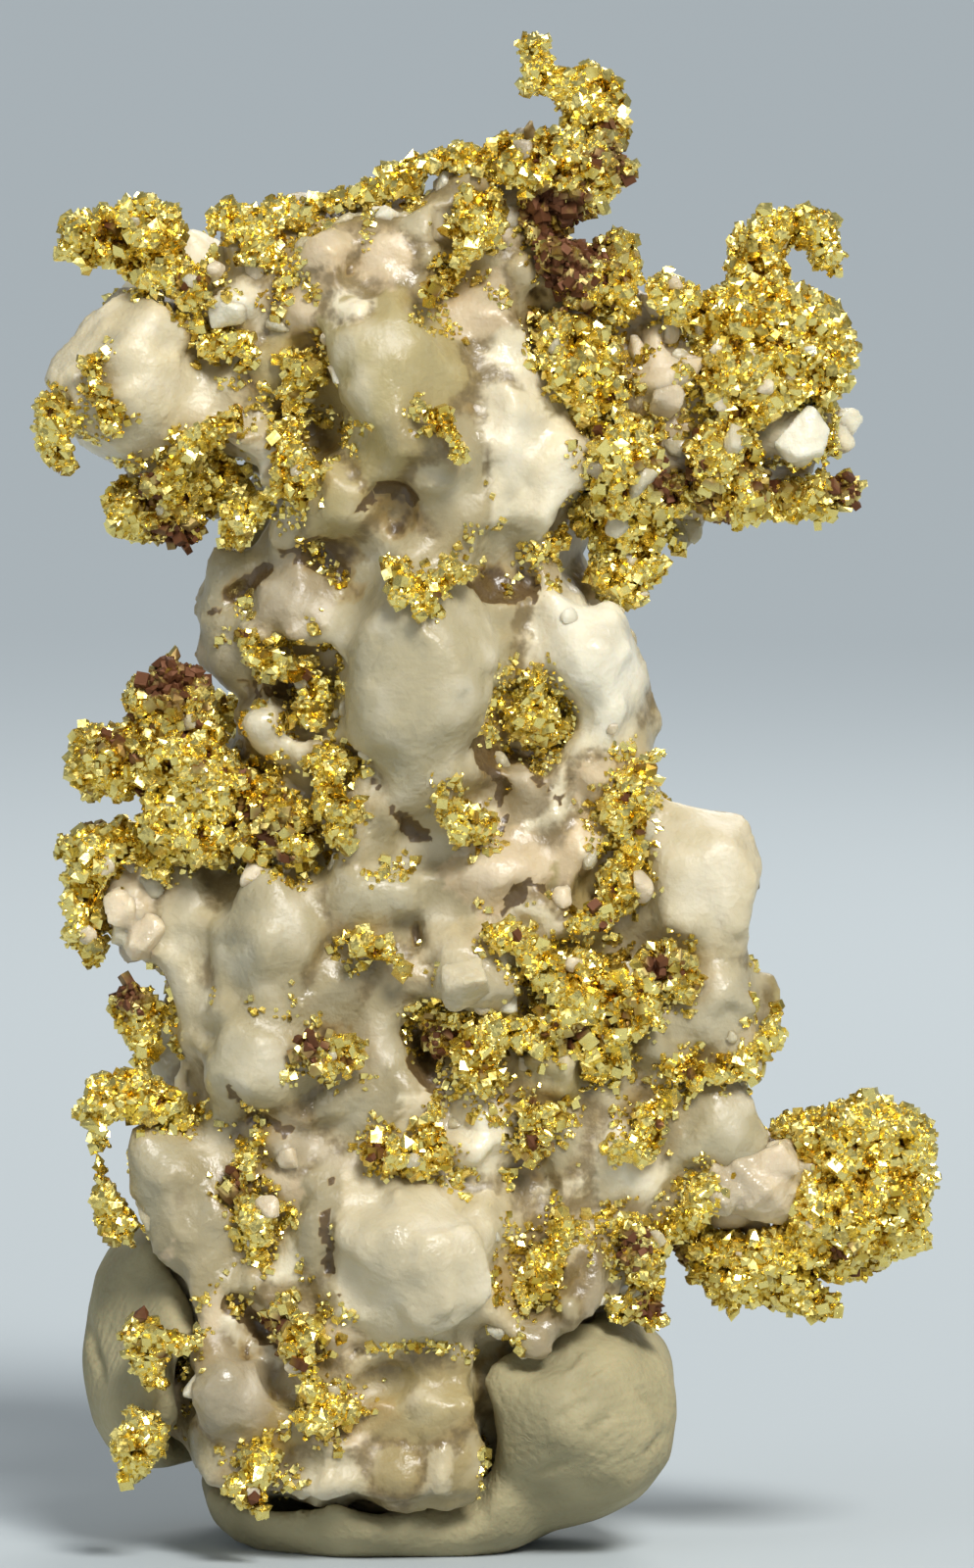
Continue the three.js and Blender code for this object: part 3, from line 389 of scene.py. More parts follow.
def growCrystals(piece, finish, seed, form, keepSurface=True):
    modifier = piece.modifiers.new("crystals", "NODES")
    modifier.node_group = crystalTree
    values = {
        "Spacing": form["spacing"], "Smallest": form["smallest"], "Largest": form["largest"],
        "Keep Surface": keepSurface, "Finish": finish, "Seed": seed,
    }
    for item in crystalTree.interface.items_tree:
        if item.in_out == "INPUT" and item.name in values:
            modifier[item.identifier] = values[item.name]
    applyModifiers(piece)


# Shader groups that more than one finish uses

def newGroup(name, inputs, outputs):
    group = bpy.data.node_groups.new(name, "ShaderNodeTree")
    for label, value in inputs.items():
        socket = group.interface.new_socket(label, in_out="INPUT", socket_type="NodeSocketFloat")
        socket.default_value = value
    for label in outputs:
        group.interface.new_socket(label, in_out="OUTPUT", socket_type="NodeSocketFloat")
    return group, group.nodes.new("NodeGroupInput").outputs, group.nodes.new("NodeGroupOutput").inputs


def objectPlaces(tree):  # the place on the object, in millimetres
    places = addNode(tree, "ShaderNodeTexCoord").outputs["Object"]
    return vectorNode(tree, "SCALE", places, 1 / millimetre)


def mapRange(tree, value, low, high, toLow=0.0, toHigh=1.0):
    values = {"Value": value, "From Min": low, "From Max": high, "To Min": toLow, "To Max": toHigh}
    return result(addNode(tree, "ShaderNodeMapRange", values, interpolation_type="SMOOTHSTEP"))


def mixColours(tree, share, first, second, blend="MIX"):
    first, second = [(*colour, 1.0) if isinstance(colour, tuple) else colour for colour in (first, second)]
    values = {"Factor": share, "A": first, "B": second}
    return result(addNode(tree, "ShaderNodeMix", values, data_type="RGBA", blend_type=blend))


def coloured(tree, below, colour, value, low, high, most):  # a colour laid on where a value is high
    return mixColours(tree, mapRange(tree, value, low, high, 0.0, most), below, colour)


def attribute(tree, name, output="Fac"):
    return addNode(tree, "ShaderNodeAttribute", attribute_name=name).outputs[output]


def noise(tree, places, size, detail):
    values = {"Vector": places, "Detail": detail, "Scale": mathNode(tree, "DIVIDE", 1.0, size)}
    return addNode(tree, "ShaderNodeTexNoise", values).outputs["Fac"]


stainEdges = {"unevenness": 1.3, "starts": 0.38, "full": 0.85}


def stainAndHollowShadeGroup():  # brown iron stain round marked spots, and in hollows iron stain together with painted shade
    inputs = {"Hollow": 0.0, "Spot": 0.0, "Patch Size": 1.0, "Amount": 1.0, "Mottle": 0.0}
    group, given, made = newGroup("stainAndHollowShade", inputs, ["Mask"])
    places = objectPlaces(group)
    patches = noise(group, places, given["Patch Size"], 2.0)
    both = mathNode(group, "ADD", given["Hollow"], given["Spot"])
    raised = mathNode(group, "MULTIPLY", both, given["Amount"])
    patchy = mathNode(group, "SUBTRACT", patches, 0.5)
    patchy = mathNode(group, "MULTIPLY", patchy, stainEdges["unevenness"])
    mottled = mathNode(group, "ADD", mathNode(group, "ADD", raised, patchy), given["Mottle"])
    group.links.new(mapRange(group, mottled, stainEdges["starts"], stainEdges["full"]), made["Mask"])
    return group


def grainGroup():  # fine relief and cloudy variation
    group, given, made = newGroup("mineralGrain", {"Size": 0.4, "Cloud Size": 3.0}, ["Relief", "Clouds"])
    places = objectPlaces(group)
    group.links.new(noise(group, places, given["Size"], 2.0), made["Relief"])
    group.links.new(noise(group, places, given["Cloud Size"], 1.5), made["Clouds"])
    return group


def facetGroup():  # little flat faces, each with a slope of its own
    group, given, made = newGroup("smallFacets", {"Size": 0.2}, ["Relief"])
    places = objectPlaces(group)
    scale = mathNode(group, "DIVIDE", 1.0, given["Size"])
    cells = addNode(group, "ShaderNodeTexVoronoi", {"Vector": places, "Scale": scale}).outputs
    away = vectorNode(group, "SUBTRACT", places, cells["Position"])
    slope = vectorNode(group, "SUBTRACT", cells["Color"], (0.5, 0.5, 0.5))
    along = vectorNode(group, "DOT_PRODUCT", away, slope, "Value")
    group.links.new(mathNode(group, "DIVIDE", along, given["Size"]), made["Relief"])
    return group


def useGroup(tree, group, **values):
    inputs = {name.replace("_", " "): value for name, value in values.items()}
    return addNode(tree, "ShaderNodeGroup", inputs, node_tree=group)


def newFinish(name, settings):
    finish = bpy.data.materials.new(name)
    finish.use_nodes = True
    tree = finish.node_tree
    shader = tree.nodes["Principled BSDF"]
    for socket, value in settings.items():
        shader.inputs[socket].default_value = value
    return finish, tree, shader


def bump(tree, shader, height, distance, strength, below=None):
    values = {"Strength": strength, "Distance": distance * millimetre, "Height": height, "Normal": below}
    normal = result(addNode(tree, "ShaderNodeBump", values))
    tree.links.new(normal, shader.inputs["Normal"])
    return normal


stainAndHollowShade = stainAndHollowShadeGroup()
mineralGrain = grainGroup()
smallFacets = facetGroup()
crystalTree = grownCrystalsTree()

goldFinishValues = {
    "bright": (1.0, 0.83, 0.28), "deep": (0.62, 0.42, 0.055), "brown": (0.14, 0.05, 0.017),
    "roughness": (0.18, 0.36), "stainRoughness": 0.6, "stainPatch": 1.5, "stainAmount": 0.92, "mottle": 0.55,
    "grain": 0.16, "clouds": 1.1, "brightening": (0.22, 0.52), "facet": 0.3, "facetRelief": 0.05,
}


def goldFinish(values=goldFinishValues):
    finish, tree, shader = newFinish("nativeGold", {"IOR": 1.5})
    grain = useGroup(tree, mineralGrain, Size=values["grain"], Cloud_Size=values["clouds"])
    facets = useGroup(tree, smallFacets, Size=values["facet"])
    # A random tone for each crystal. On the surface between the crystals it is 0, which paints shade into
    # the gaps between them.
    grainShift = mathNode(tree, "SUBTRACT", attribute(tree, "grainToneAndGapShade"), 0.5)
    stain = useGroup(
        tree, stainAndHollowShade, Hollow=attribute(tree, "hollow"), Spot=attribute(tree, "stain"),
        Patch_Size=values["stainPatch"], Amount=values["stainAmount"],
        Mottle=mathNode(tree, "MULTIPLY", grainShift, values["mottle"]),
    ).outputs["Mask"]
    grainToneAndGapShade = mathNode(tree, "MULTIPLY", grainShift, 0.2)
    shade = mathNode(tree, "ADD", grain.outputs["Clouds"], grainToneAndGapShade)
    # Painted shade: the gold is drawn deeper and darker in the hollows.
    raised = mathNode(tree, "SUBTRACT", shade, mathNode(tree, "MULTIPLY", attribute(tree, "hollow"), 0.5))
    lit = mapRange(tree, raised, *values["brightening"])
    metal = mixColours(tree, lit, values["deep"], values["bright"])
    # Brown from the stain mask: iron stain round the marked spots, and in the hollows iron stain together
    # with painted shade.
    tree.links.new(mixColours(tree, stain, metal, values["brown"]), shader.inputs["Base Color"])
    tree.links.new(mapRange(tree, stain, 0.2, 1.0, 1.0, 0.5), shader.inputs["Metallic"])
    smooth = mapRange(tree, grain.outputs["Relief"], 0.35, 0.65, *values["roughness"])
    rough = mathNode(tree, "MAXIMUM", smooth, mathNode(tree, "MULTIPLY", stain, values["stainRoughness"]))
    tree.links.new(rough, shader.inputs["Roughness"])
    bump(tree, shader, facets.outputs["Relief"], values["facetRelief"], 0.8)
    return finish


quartzFinishValues = {
    # seam is the colour of the dark lines along the seams: brown seam lines and painted shade in the clefts
    # together.
    "honey": (0.36, 0.235, 0.07), "rust": (0.095, 0.054, 0.017), "seam": (0.15, 0.105, 0.04),
    "milk": (0.80, 0.74, 0.60), "smoke": (0.30, 0.265, 0.17),
    "subsurface": 0.55, "subsurfaceScale": 0.8, "subsurfaceRadius": (1.0, 0.8, 0.55),
    # paintedEdgeShade is painted shade, multiplied in near the edges of the lumps.
    "roughness": (0.3, 0.5), "coat": 0.07, "coatRoughness": 0.2, "paintedEdgeShade": (0.86, 0.81, 0.70),
    "grain": 0.35, "clouds": 2.2, "relief": 0.1,
    "stainPatch": 1.2, "stainAmount": 0.72, "facet": 1.0, "facetRelief": 0.2,
}


def quartzFinish(values=quartzFinishValues):
    finish, tree, shader = newFinish("milkyQuartz", {
        "IOR": 1.544, "Subsurface Weight": values["subsurface"],
        "Subsurface Radius": values["subsurfaceRadius"],
        "Subsurface Scale": values["subsurfaceScale"] * millimetre,
        "Coat Weight": values["coat"], "Coat Roughness": values["coatRoughness"],
    })
    grain = useGroup(tree, mineralGrain, Size=values["grain"], Cloud_Size=values["clouds"])
    stain = useGroup(
        tree, stainAndHollowShade, Hollow=attribute(tree, "hollow"), Spot=attribute(tree, "stain"),
        Patch_Size=values["stainPatch"], Amount=values["stainAmount"],
    ).outputs["Mask"]
    clouds = grain.outputs["Clouds"]
    edge, seam, nearGold = [attribute(tree, name) for name in ("edge", "seam", "nearGold")]
    tone = attribute(tree, "tone", "Color")
    milky = coloured(tree, tone, values["milk"], clouds, 0.5, 0.72, 0.35)
    smoky = coloured(tree, milky, values["smoke"], clouds, 0.5, 0.28, 0.4)
    warm = coloured(tree, smoky, values["honey"], nearGold, 0.1, 1.0, 0.75)
    # Painted shade: each lump is drawn darker near its edges and lighter in its middle.
    paintedEdgeShadeShare = mapRange(tree, edge, 0.0, 1.0, 0.9, 0.0)
    shaded = mixColours(tree, paintedEdgeShadeShare, warm, values["paintedEdgeShade"], "MULTIPLY")
    # The seams between the lumps are honey-brown with dark lines of their own, also darkened there as
    # painted shade in the clefts.
    seamed = coloured(tree, shaded, values["honey"], seam, 0.3, 1.0, 0.5)
    line = mathNode(tree, "ADD", edge, mathNode(tree, "MULTIPLY", grain.outputs["Relief"], 0.4))
    darkSeamLineAndShade = mathNode(tree, "MULTIPLY", mapRange(tree, line, 0.44, 0.22), mapRange(tree, seam, 0.15, 0.6))
    dark = mixColours(tree, mathNode(tree, "MULTIPLY", darkSeamLineAndShade, 0.7), seamed, values["seam"])
    # Amber and rust from the stain mask: iron stain round the marked spots and in the cracks, and in the
    # hollows iron stain together with painted shade.
    amber = coloured(tree, dark, values["honey"], stain, 0.0, 0.6, 0.6)
    rusty = coloured(tree, amber, values["rust"], stain, 0.4, 1.0, 0.9)
    tree.links.new(rusty, shader.inputs["Base Color"])
    tree.links.new(mapRange(tree, clouds, 0.35, 0.65, *values["roughness"]), shader.inputs["Roughness"])
    facets = useGroup(tree, smallFacets, Size=values["facet"])
    below = bump(tree, shader, facets.outputs["Relief"], values["facetRelief"], 0.8)
    bump(tree, shader, grain.outputs["Relief"], values["relief"], 0.7, below)
    return finish


puttyFinishValues = {
    "pale": (0.41, 0.355, 0.2), "dark": (0.21, 0.185, 0.1), "roughness": (0.6, 0.8),
    "grain": 0.4, "clouds": 3.0, "relief": 0.14, "ridge": 0.008,
}


def puttyFinish(values=puttyFinishValues):
    finish, tree, shader = newFinish("mineralPutty", {
        "Specular IOR Level": 0.35, "Subsurface Weight": 0.1, "Subsurface Scale": 0.6 * millimetre,
    })
    grain = useGroup(tree, mineralGrain, Size=values["grain"], Cloud_Size=values["clouds"])
    share = mapRange(tree, grain.outputs["Clouds"], 0.35, 0.65)
    base = mixColours(tree, mathNode(tree, "MULTIPLY", share, 0.5), values["pale"], values["dark"])
    # Painted shade: the putty is drawn darker in its hollows.
    paintedHollowShade = coloured(tree, base, values["dark"], attribute(tree, "hollow"), 0.15, 1.0, 0.8)
    ridges = mathNode(tree, "SINE", attribute(tree, "ridge"))
    marked = mathNode(tree, "MULTIPLY", ridges, attribute(tree, "printed"))
    lined = coloured(tree, paintedHollowShade, values["dark"], marked, 0.0, -1.0, 0.05)
    tree.links.new(lined, shader.inputs["Base Color"])
    rough = mapRange(tree, grain.outputs["Relief"], 0.3, 0.7, *values["roughness"])
    tree.links.new(rough, shader.inputs["Roughness"])
    below = bump(tree, shader, grain.outputs["Relief"], values["relief"], 0.7)
    bump(tree, shader, marked, values["ridge"], 0.8, below)
    return finish


gold = goldFinish()
quartz = quartzFinish()
putty = puttyFinish()
print("finishes made")


# Brown, iron-stained places on the gold and in the seams: across, height, radius, strength
stainSpots = [
    (23.0, 52.8, 2.4, 1.10), (22.6, 54.9, 1.8, 1.02), (24.8, 57.0, 1.4, 0.85), (7.2, 36.2, 1.9, 1.10),
    (11.2, 29.8, 1.4, 0.85), (6.0, 44.6, 1.4, 0.85), (7.4, 41.4, 1.5, 1.02), (27.4, 44.2, 1.5, 0.94),
    (27.8, 46.2, 1.1, 0.85), (28.9, 43.0, 1.2, 0.77), (31.4, 44.1, 1.2, 0.77), (34.7, 43.8, 1.0, 1.02),
    (13.4, 40.6, 1.5, 0.94), (20.1, 40.0, 1.0, 1.19), (9.9, 39.6, 1.2, 0.94), (20.7, 32.8, 1.0, 0.85),
    (17.4, 20.8, 1.5, 1.10), (27.0, 24.4, 1.4, 0.85), (12.8, 21.2, 1.2, 1.02), (5.6, 11.6, 1.8, 1.19),
    (21.4, 7.5, 1.4, 1.27), (10.6, 9.6, 1.8, 0.94), (16.2, 42.4, 1.6, 0.68), (25.6, 12.8, 1.2, 0.85),
    (26.4, 10.6, 1.1, 0.68), (5.0, 23.0, 1.2, 1.02), (10.6, 48.0, 1.5, 0.51), (3.6, 30.4, 1.2, 0.77),
    (21.8, 17.0, 1.0, 0.85), (9.6, 15.4, 1.0, 0.85), (27.4, 12.2, 0.9, 0.94), (34.8, 11.9, 1.1, 0.85),
    (8.4, 32.6, 0.6, 0.59), (4.4, 33.4, 0.9, 0.68), (26.0, 22.6, 0.9, 0.68), (23.4, 21.6, 1.1, 0.59),
]


def stainAt(places):
    total = np.zeros(len(places))
    for across, height, radius, strength in stainSpots:
        total = np.maximum(total, strength * spotWeights(places, across, height, radius))
    return total


def hollowAt(places, normals, edges, rounds, depth):  # 1 where it is this deep below its surroundings
    level = ((smoothed(places, edges, rounds) - places) * normals).sum(axis=1)
    return np.clip(level / depth, 0, 1)


# Quartz

quartzForm = {
    "pitch": 0.275, "closed": 0.8, "rounding": 2, "grown": 0.0, "warp": (2.2, 0.3), "grainSize": 5.2,
    "sunk": 0.6, "looseSize": (0.45, 0.3), "looseHandicap": 0.85,
    "groove": 0.36, "grooveWidth": 0.34, "shoulder": 0.16, "shoulderWidth": 1.1, "wander": (1.1, 0.35),
    "step": 0.3, "cut": 1.1, "fade": 0.32, "flatFaces": 10, "faceLevel": (0.42, 0.34), "waves": (3.4, 0.12),
    "faces": (2.3, 0.28, 0.42), "smallFaces": (0.9, 0.12, 0.24), "crushed": (1.3, 0.6),
    "grain": (0.8, 0.035), "fillByGold": 0.1, "goldReach": (0.7, 0.6), "crackDepth": 0.45,
    "unevenGroove": (3.0, 0.35), "hollow": (24, 0.35), "stain": (0.8, 1.5), "toneRange": (0.92, 0.16),
}
quartzTones = {
    "white": (0.83, 0.77, 0.60), "cream": (0.62, 0.54, 0.36), "grey": (0.44, 0.385, 0.245),
    "honey": (0.46, 0.385, 0.19), "pink": (0.70, 0.58, 0.40), "clear": (0.44, 0.38, 0.235),
    "lilac": (0.41, 0.345, 0.23), "pale": (0.55, 0.49, 0.335), "amber": (0.40, 0.325, 0.16),
}
# across, height, half the width, half the height, tone, how smooth and unbroken it is
quartzLumps = [
    (5.0, 48.0, 3.8, 3.8, "cream", 1.0), (9.8, 51.0, 1.4, 1.2, "white", 0.2),
    (8.6, 49.4, 1.0, 1.0, "pale", 0.5), (13.4, 53.6, 1.5, 1.2, "pink", 0.2),
    (15.8, 53.1, 1.4, 1.3, "pink", 0.1), (17.5, 54.3, 1.5, 1.0, "pale", 0.3),
    (12.7, 51.2, 1.1, 1.2, "pink", 0.1), (14.8, 51.0, 1.3, 1.0, "white", 0.1),
    (19.4, 50.8, 1.7, 1.5, "pink", 0.3), (17.4, 51.9, 1.2, 0.8, "pale", 0.2),
    (20.8, 54.6, 1.2, 1.0, "lilac", 0.4), (21.0, 48.8, 1.5, 1.8, "white", 0.2),
    (16.0, 48.0, 3.1, 4.2, "honey", 1.0), (18.4, 44.4, 2.0, 3.2, "clear", 0.8),
    (20.8, 45.6, 1.7, 3.0, "white", 0.5), (22.6, 44.2, 1.6, 2.6, "white", 0.5),
    (14.0, 43.4, 1.7, 2.0, "honey", 0.6), (20.6, 41.4, 1.8, 1.2, "pale", 0.6),
    (27.0, 48.6, 2.0, 2.0, "pink", 0.0), (32.4, 46.0, 1.5, 1.6, "white", 0.6),
    (34.7, 46.2, 1.0, 1.5, "white", 0.6), (10.4, 44.9, 1.3, 1.0, "white", 0.3),
    (8.9, 39.4, 1.2, 2.4, "grey", 0.7), (11.9, 39.4, 1.4, 1.4, "lilac", 0.2),
    (9.6, 36.2, 1.2, 1.6, "grey", 0.6), (12.8, 37.2, 1.0, 1.4, "pale", 0.3),
    (10.8, 34.0, 1.3, 1.6, "white", 0.3), (14.8, 31.6, 1.4, 1.6, "pale", 0.5),
    (17.3, 37.2, 3.7, 6.2, "clear", 1.0), (24.4, 37.0, 2.7, 4.6, "white", 0.9),
    (21.6, 31.8, 1.3, 1.3, "lilac", 0.3), (24.2, 32.0, 1.6, 1.5, "pink", 0.3),
    (26.2, 32.4, 1.0, 2.2, "pale", 0.6), (24.0, 29.4, 1.5, 1.2, "pink", 0.2),
    (21.9, 26.6, 1.1, 1.0, "white", 0.4), (28.9, 27.6, 3.0, 3.6, "cream", 0.9),
    (29.4, 22.6, 2.2, 2.4, "pale", 0.7), (29.2, 17.4, 2.4, 3.4, "grey", 0.9),
    (25.4, 16.2, 1.4, 1.9, "white", 0.6), (24.8, 19.4, 1.3, 1.4, "grey", 0.5),
    (22.6, 17.4, 1.3, 1.6, "grey", 0.6), (19.6, 17.4, 1.2, 2.0, "white", 0.6),
    (11.0, 26.0, 2.6, 3.8, "grey", 0.9), (13.6, 23.4, 1.4, 2.0, "clear", 0.7),
    (10.4, 20.6, 2.7, 2.6, "grey", 0.9), (7.4, 24.4, 1.3, 4.4, "pale", 0.8),
    (5.6, 26.2, 1.5, 2.0, "pink", 0.1), (6.4, 21.0, 1.2, 1.6, "pale", 0.4),
    (15.8, 27.4, 2.4, 2.0, "grey", 0.8), (17.6, 29.8, 1.5, 1.2, "pale", 0.4),
    (20.3, 28.4, 2.0, 1.6, "pink", 0.5), (19.2, 24.2, 2.2, 1.8, "cream", 1.0),
    (15.8, 21.4, 1.8, 2.0, "clear", 0.8), (14.6, 18.4, 1.6, 1.4, "grey", 0.6),
    (17.3, 12.2, 3.8, 3.6, "cream", 1.0), (13.0, 14.0, 1.1, 2.2, "grey", 0.8),
    (11.3, 15.4, 1.2, 1.3, "pink", 0.2), (9.4, 16.6, 0.9, 1.0, "pale", 0.3),
    (11.7, 12.0, 0.9, 1.1, "white", 0.5), (10.1, 11.3, 1.0, 1.2, "grey", 0.6),
    (13.8, 9.4, 1.3, 0.9, "pink", 0.3), (6.4, 16.0, 1.8, 3.4, "grey", 0.8),
    (8.4, 13.0, 1.5, 3.0, "grey", 0.8), (24.4, 11.4, 1.0, 2.2, "lilac", 1.0),
    (23.0, 9.2, 1.2, 1.4, "lilac", 1.0), (9.0, 7.0, 2.0, 2.2, "lilac", 0.6),
    (8.6, 4.4, 1.5, 1.4, "grey", 0.5), (12.2, 6.2, 1.5, 1.6, "amber", 0.4),
    (13.4, 3.4, 2.0, 1.4, "pale", 0.3), (17.6, 6.6, 2.2, 1.8, "amber", 0.5),
    (16.4, 3.8, 1.5, 1.2, "amber", 0.3), (19.2, 4.2, 1.1, 2.0, "amber", 0.5),
    (17.8, 2.4, 1.5, 1.0, "amber", 0.3), (20.4, 7.4, 1.0, 1.6, "grey", 0.6),
    (31.0, 15.2, 2.2, 2.2, "pink", 0.2), (27.9, 41.4, 1.2, 1.0, "grey", 0.5),
]
# hollows that light does not reach: across, height, radius, depth
quartzPits = [
    (5.9, 11.4, 1.2, 2.6), (21.6, 7.4, 0.8, 2.2), (17.4, 20.9, 0.7, 1.2), (20.1, 40.0, 0.4, 0.8),
    (9.9, 39.2, 0.6, 0.6), (21.0, 32.8, 0.6, 0.9), (16.2, 42.5, 0.9, 0.7), (10.6, 9.7, 0.7, 0.6),
    (9.6, 15.1, 0.4, 0.6), (9.4, 10.6, 0.4, 0.7), (19.4, 31.4, 0.5, 0.7), (12.2, 8.9, 0.7, 0.8),
    (19.0, 33.0, 0.5, 0.6),
]
# open cracks with brown iron stain in them: across, height, half the width along each
quartzCracks = [
    [(14.8, 31.9, 0.15), (16.2, 30.6, 0.25), (17.5, 29.7, 0.2)],
    [(20.4, 33.2, 0.3), (20.5, 31.7, 0.25), (20.8, 30.2, 0.15)],
    [(21.4, 33.4, 0.15), (21.9, 32.2, 0.22), (22.8, 31.2, 0.15), (23.3, 30.2, 0.2)],
    [(11.3, 41.2, 0.25), (12.8, 41.0, 0.35), (14.3, 40.3, 0.2)],
    [(19.3, 40.2, 0.3), (20.6, 39.7, 0.35), (22.4, 40.4, 0.15)],
    [(10.0, 35.7, 0.2), (12.3, 35.6, 0.25)],
    [(17.0, 22.0, 0.3), (17.4, 20.6, 0.45), (18.1, 19.0, 0.2)],
    [(20.8, 26.4, 0.15), (21.3, 27.2, 0.2), (22.2, 27.7, 0.15)],
    [(8.6, 38.6, 0.2), (9.8, 39.6, 0.3), (10.6, 40.6, 0.2)],
    [(9.0, 11.0, 0.2), (10.4, 9.8, 0.3), (12.2, 8.8, 0.25)],
    [(14.7, 42.8, 0.2), (15.6, 44.0, 0.3), (16.8, 43.2, 0.2)],
    [(8.9, 20.0, 0.15), (10.2, 17.9, 0.2), (12.6, 17.8, 0.2)],
    [(13.6, 15.9, 0.2), (13.2, 13.6, 0.2), (13.7, 11.0, 0.2)],
]


def trailShare(places, normals, trails):  # 1 on thin lines that are seen from the front, 0 beside them
    best = np.full(len(places), 9.0)
    for trail in trails:
        for (*start, before), (*end, after) in zip(trail, trail[1:]):
            away, part = lineDistance(places, start, end)
            best = np.minimum(best, away / (before + (after - before) * part))
    front = (normals[:, 1] < 0.1) & (places[:, 1] < -1.0)
    return np.where(front, 1 - smoothStep(best, 0.7, 1.3), 0)


def frontAt(tree, across, height):  # the first place that a look from the front meets
    start = Vector((across - middleAcross, -40, height))
    found = tree.ray_cast(start, Vector((0, 1, 0)))[0]
    return None if found is None else np.array(found)


def directionsFor(keys, seed):
    raw = threeHashes(keys, seed) * 2 - 1
    return raw / (np.linalg.norm(raw, axis=1, keepdims=True) + 1e-9)


def threeNoises(places, size, seed, step):
    return np.stack([layeredNoise(places, size, seed + step * axis, 2) for axis in range(3)], axis=1)


def lumpMap(places, tree, form, seed):  # which lump each corner is in, and how far from its edge
    size, reach = form["warp"]
    bent = places + reach * threeNoises(places, size, seed, 3)
    count = len(places)
    first, second = np.full(count, 99.0), np.full(count, 99.0)
    centre, radius = np.zeros((count, 3)), np.ones((count, 3))
    key = np.zeros((count, 3), np.int64)
    lump = np.full(count, -1)

    def offer(middle, size, keys, number, handicap):
        nonlocal first, second
        away = np.linalg.norm((bent - middle) / size, axis=1) * (1 - 0.5 * handicap) + handicap
        nearer = away < first
        second = np.where(nearer, first, np.minimum(second, away))
        first = np.minimum(first, away)
        for target, value in ((centre, middle), (radius, size), (key, keys)):
            target[nearer] = np.broadcast_to(value, (count, 3))[nearer]
        lump[nearer] = number

    for number, (across, height, wide, tall, tone, smooth) in enumerate(quartzLumps):
        found = frontAt(tree, across, height)
        if found is not None:
            middle = found + np.array([0, form["sunk"] * wide, 0])
            offer(middle, np.array([wide, wide, tall]), np.array([number, 7, 13]), number, 0.0)
    cellSize = form["grainSize"]
    least, spare = form["looseSize"]
    cell = np.floor(bent / cellSize).astype(np.int64)
    for other in neighbours(cell):
        spot = (other + threeHashes(other, seed + 50)) * cellSize
        size = cellSize * (least + spare * cellHash(other, seed + 57))
        offer(spot, size[:, None], other + 1000, -1, form["looseHandicap"])
    edge = (second - first) * radius[:, 0] * 0.5
    return {"edge": edge, "centre": centre, "radius": radius, "key": key, "lump": lump}


def lumpCharacter(lumps, form, seed):  # how smooth each lump is, and its colour
    handMade = lumps["lump"] >= 0
    chosen = np.maximum(lumps["lump"], 0)
    calmOf = np.array([lump[5] for lump in quartzLumps])
    calm = np.where(handMade, calmOf[chosen], cellHash(lumps["key"], seed + 70))
    toneNames = ["grey", "pale", "clear", "cream", "white", "lilac", "pink", "honey"]
    picked = np.floor(cellHash(lumps["key"], seed + 71) * len(toneNames)).astype(int)
    looseTones = np.array([quartzTones[name] for name in toneNames])[picked]
    handTones = np.array([quartzTones[lump[4]] for lump in quartzLumps])[chosen]
    tone = np.where(handMade[:, None], handTones, looseTones)
    darkest, spare = form["toneRange"]
    return calm, tone * (darkest + spare * cellHash(lumps["key"], seed + 72))[:, None]


def faceCuts(places, lumps, calm, form, seed):  # from each corner to the flat face cut deepest there
    offset = places - lumps["centre"]
    deepest = np.zeros(len(places))
    shift = np.zeros_like(places)
    lowest, spare = form["faceLevel"]
    for face in range(form["flatFaces"]):
        direction = directionsFor(lumps["key"], seed + 100 + 7 * face)
        level = lowest + spare * cellHash(lumps["key"], seed + 104 + 7 * face) + 0.08 * calm
        over = (offset / lumps["radius"] * direction).sum(axis=1) - level
        over = np.clip(over * lumps["radius"][:, 0], 0, form["cut"])
        deeper = over > deepest
        deepest = np.where(deeper, over, deepest)
        shift[deeper] = -(direction * over[:, None])[deeper]
    return shift


def swollen(piece, distance):  # every corner moved out along its normal
    mesh = piece.data
    places = smoothed(readPlaces(mesh), readEdges(mesh), 3)
    writePlaces(mesh, places)
    writePlaces(mesh, places + readNormals(mesh) * distance)


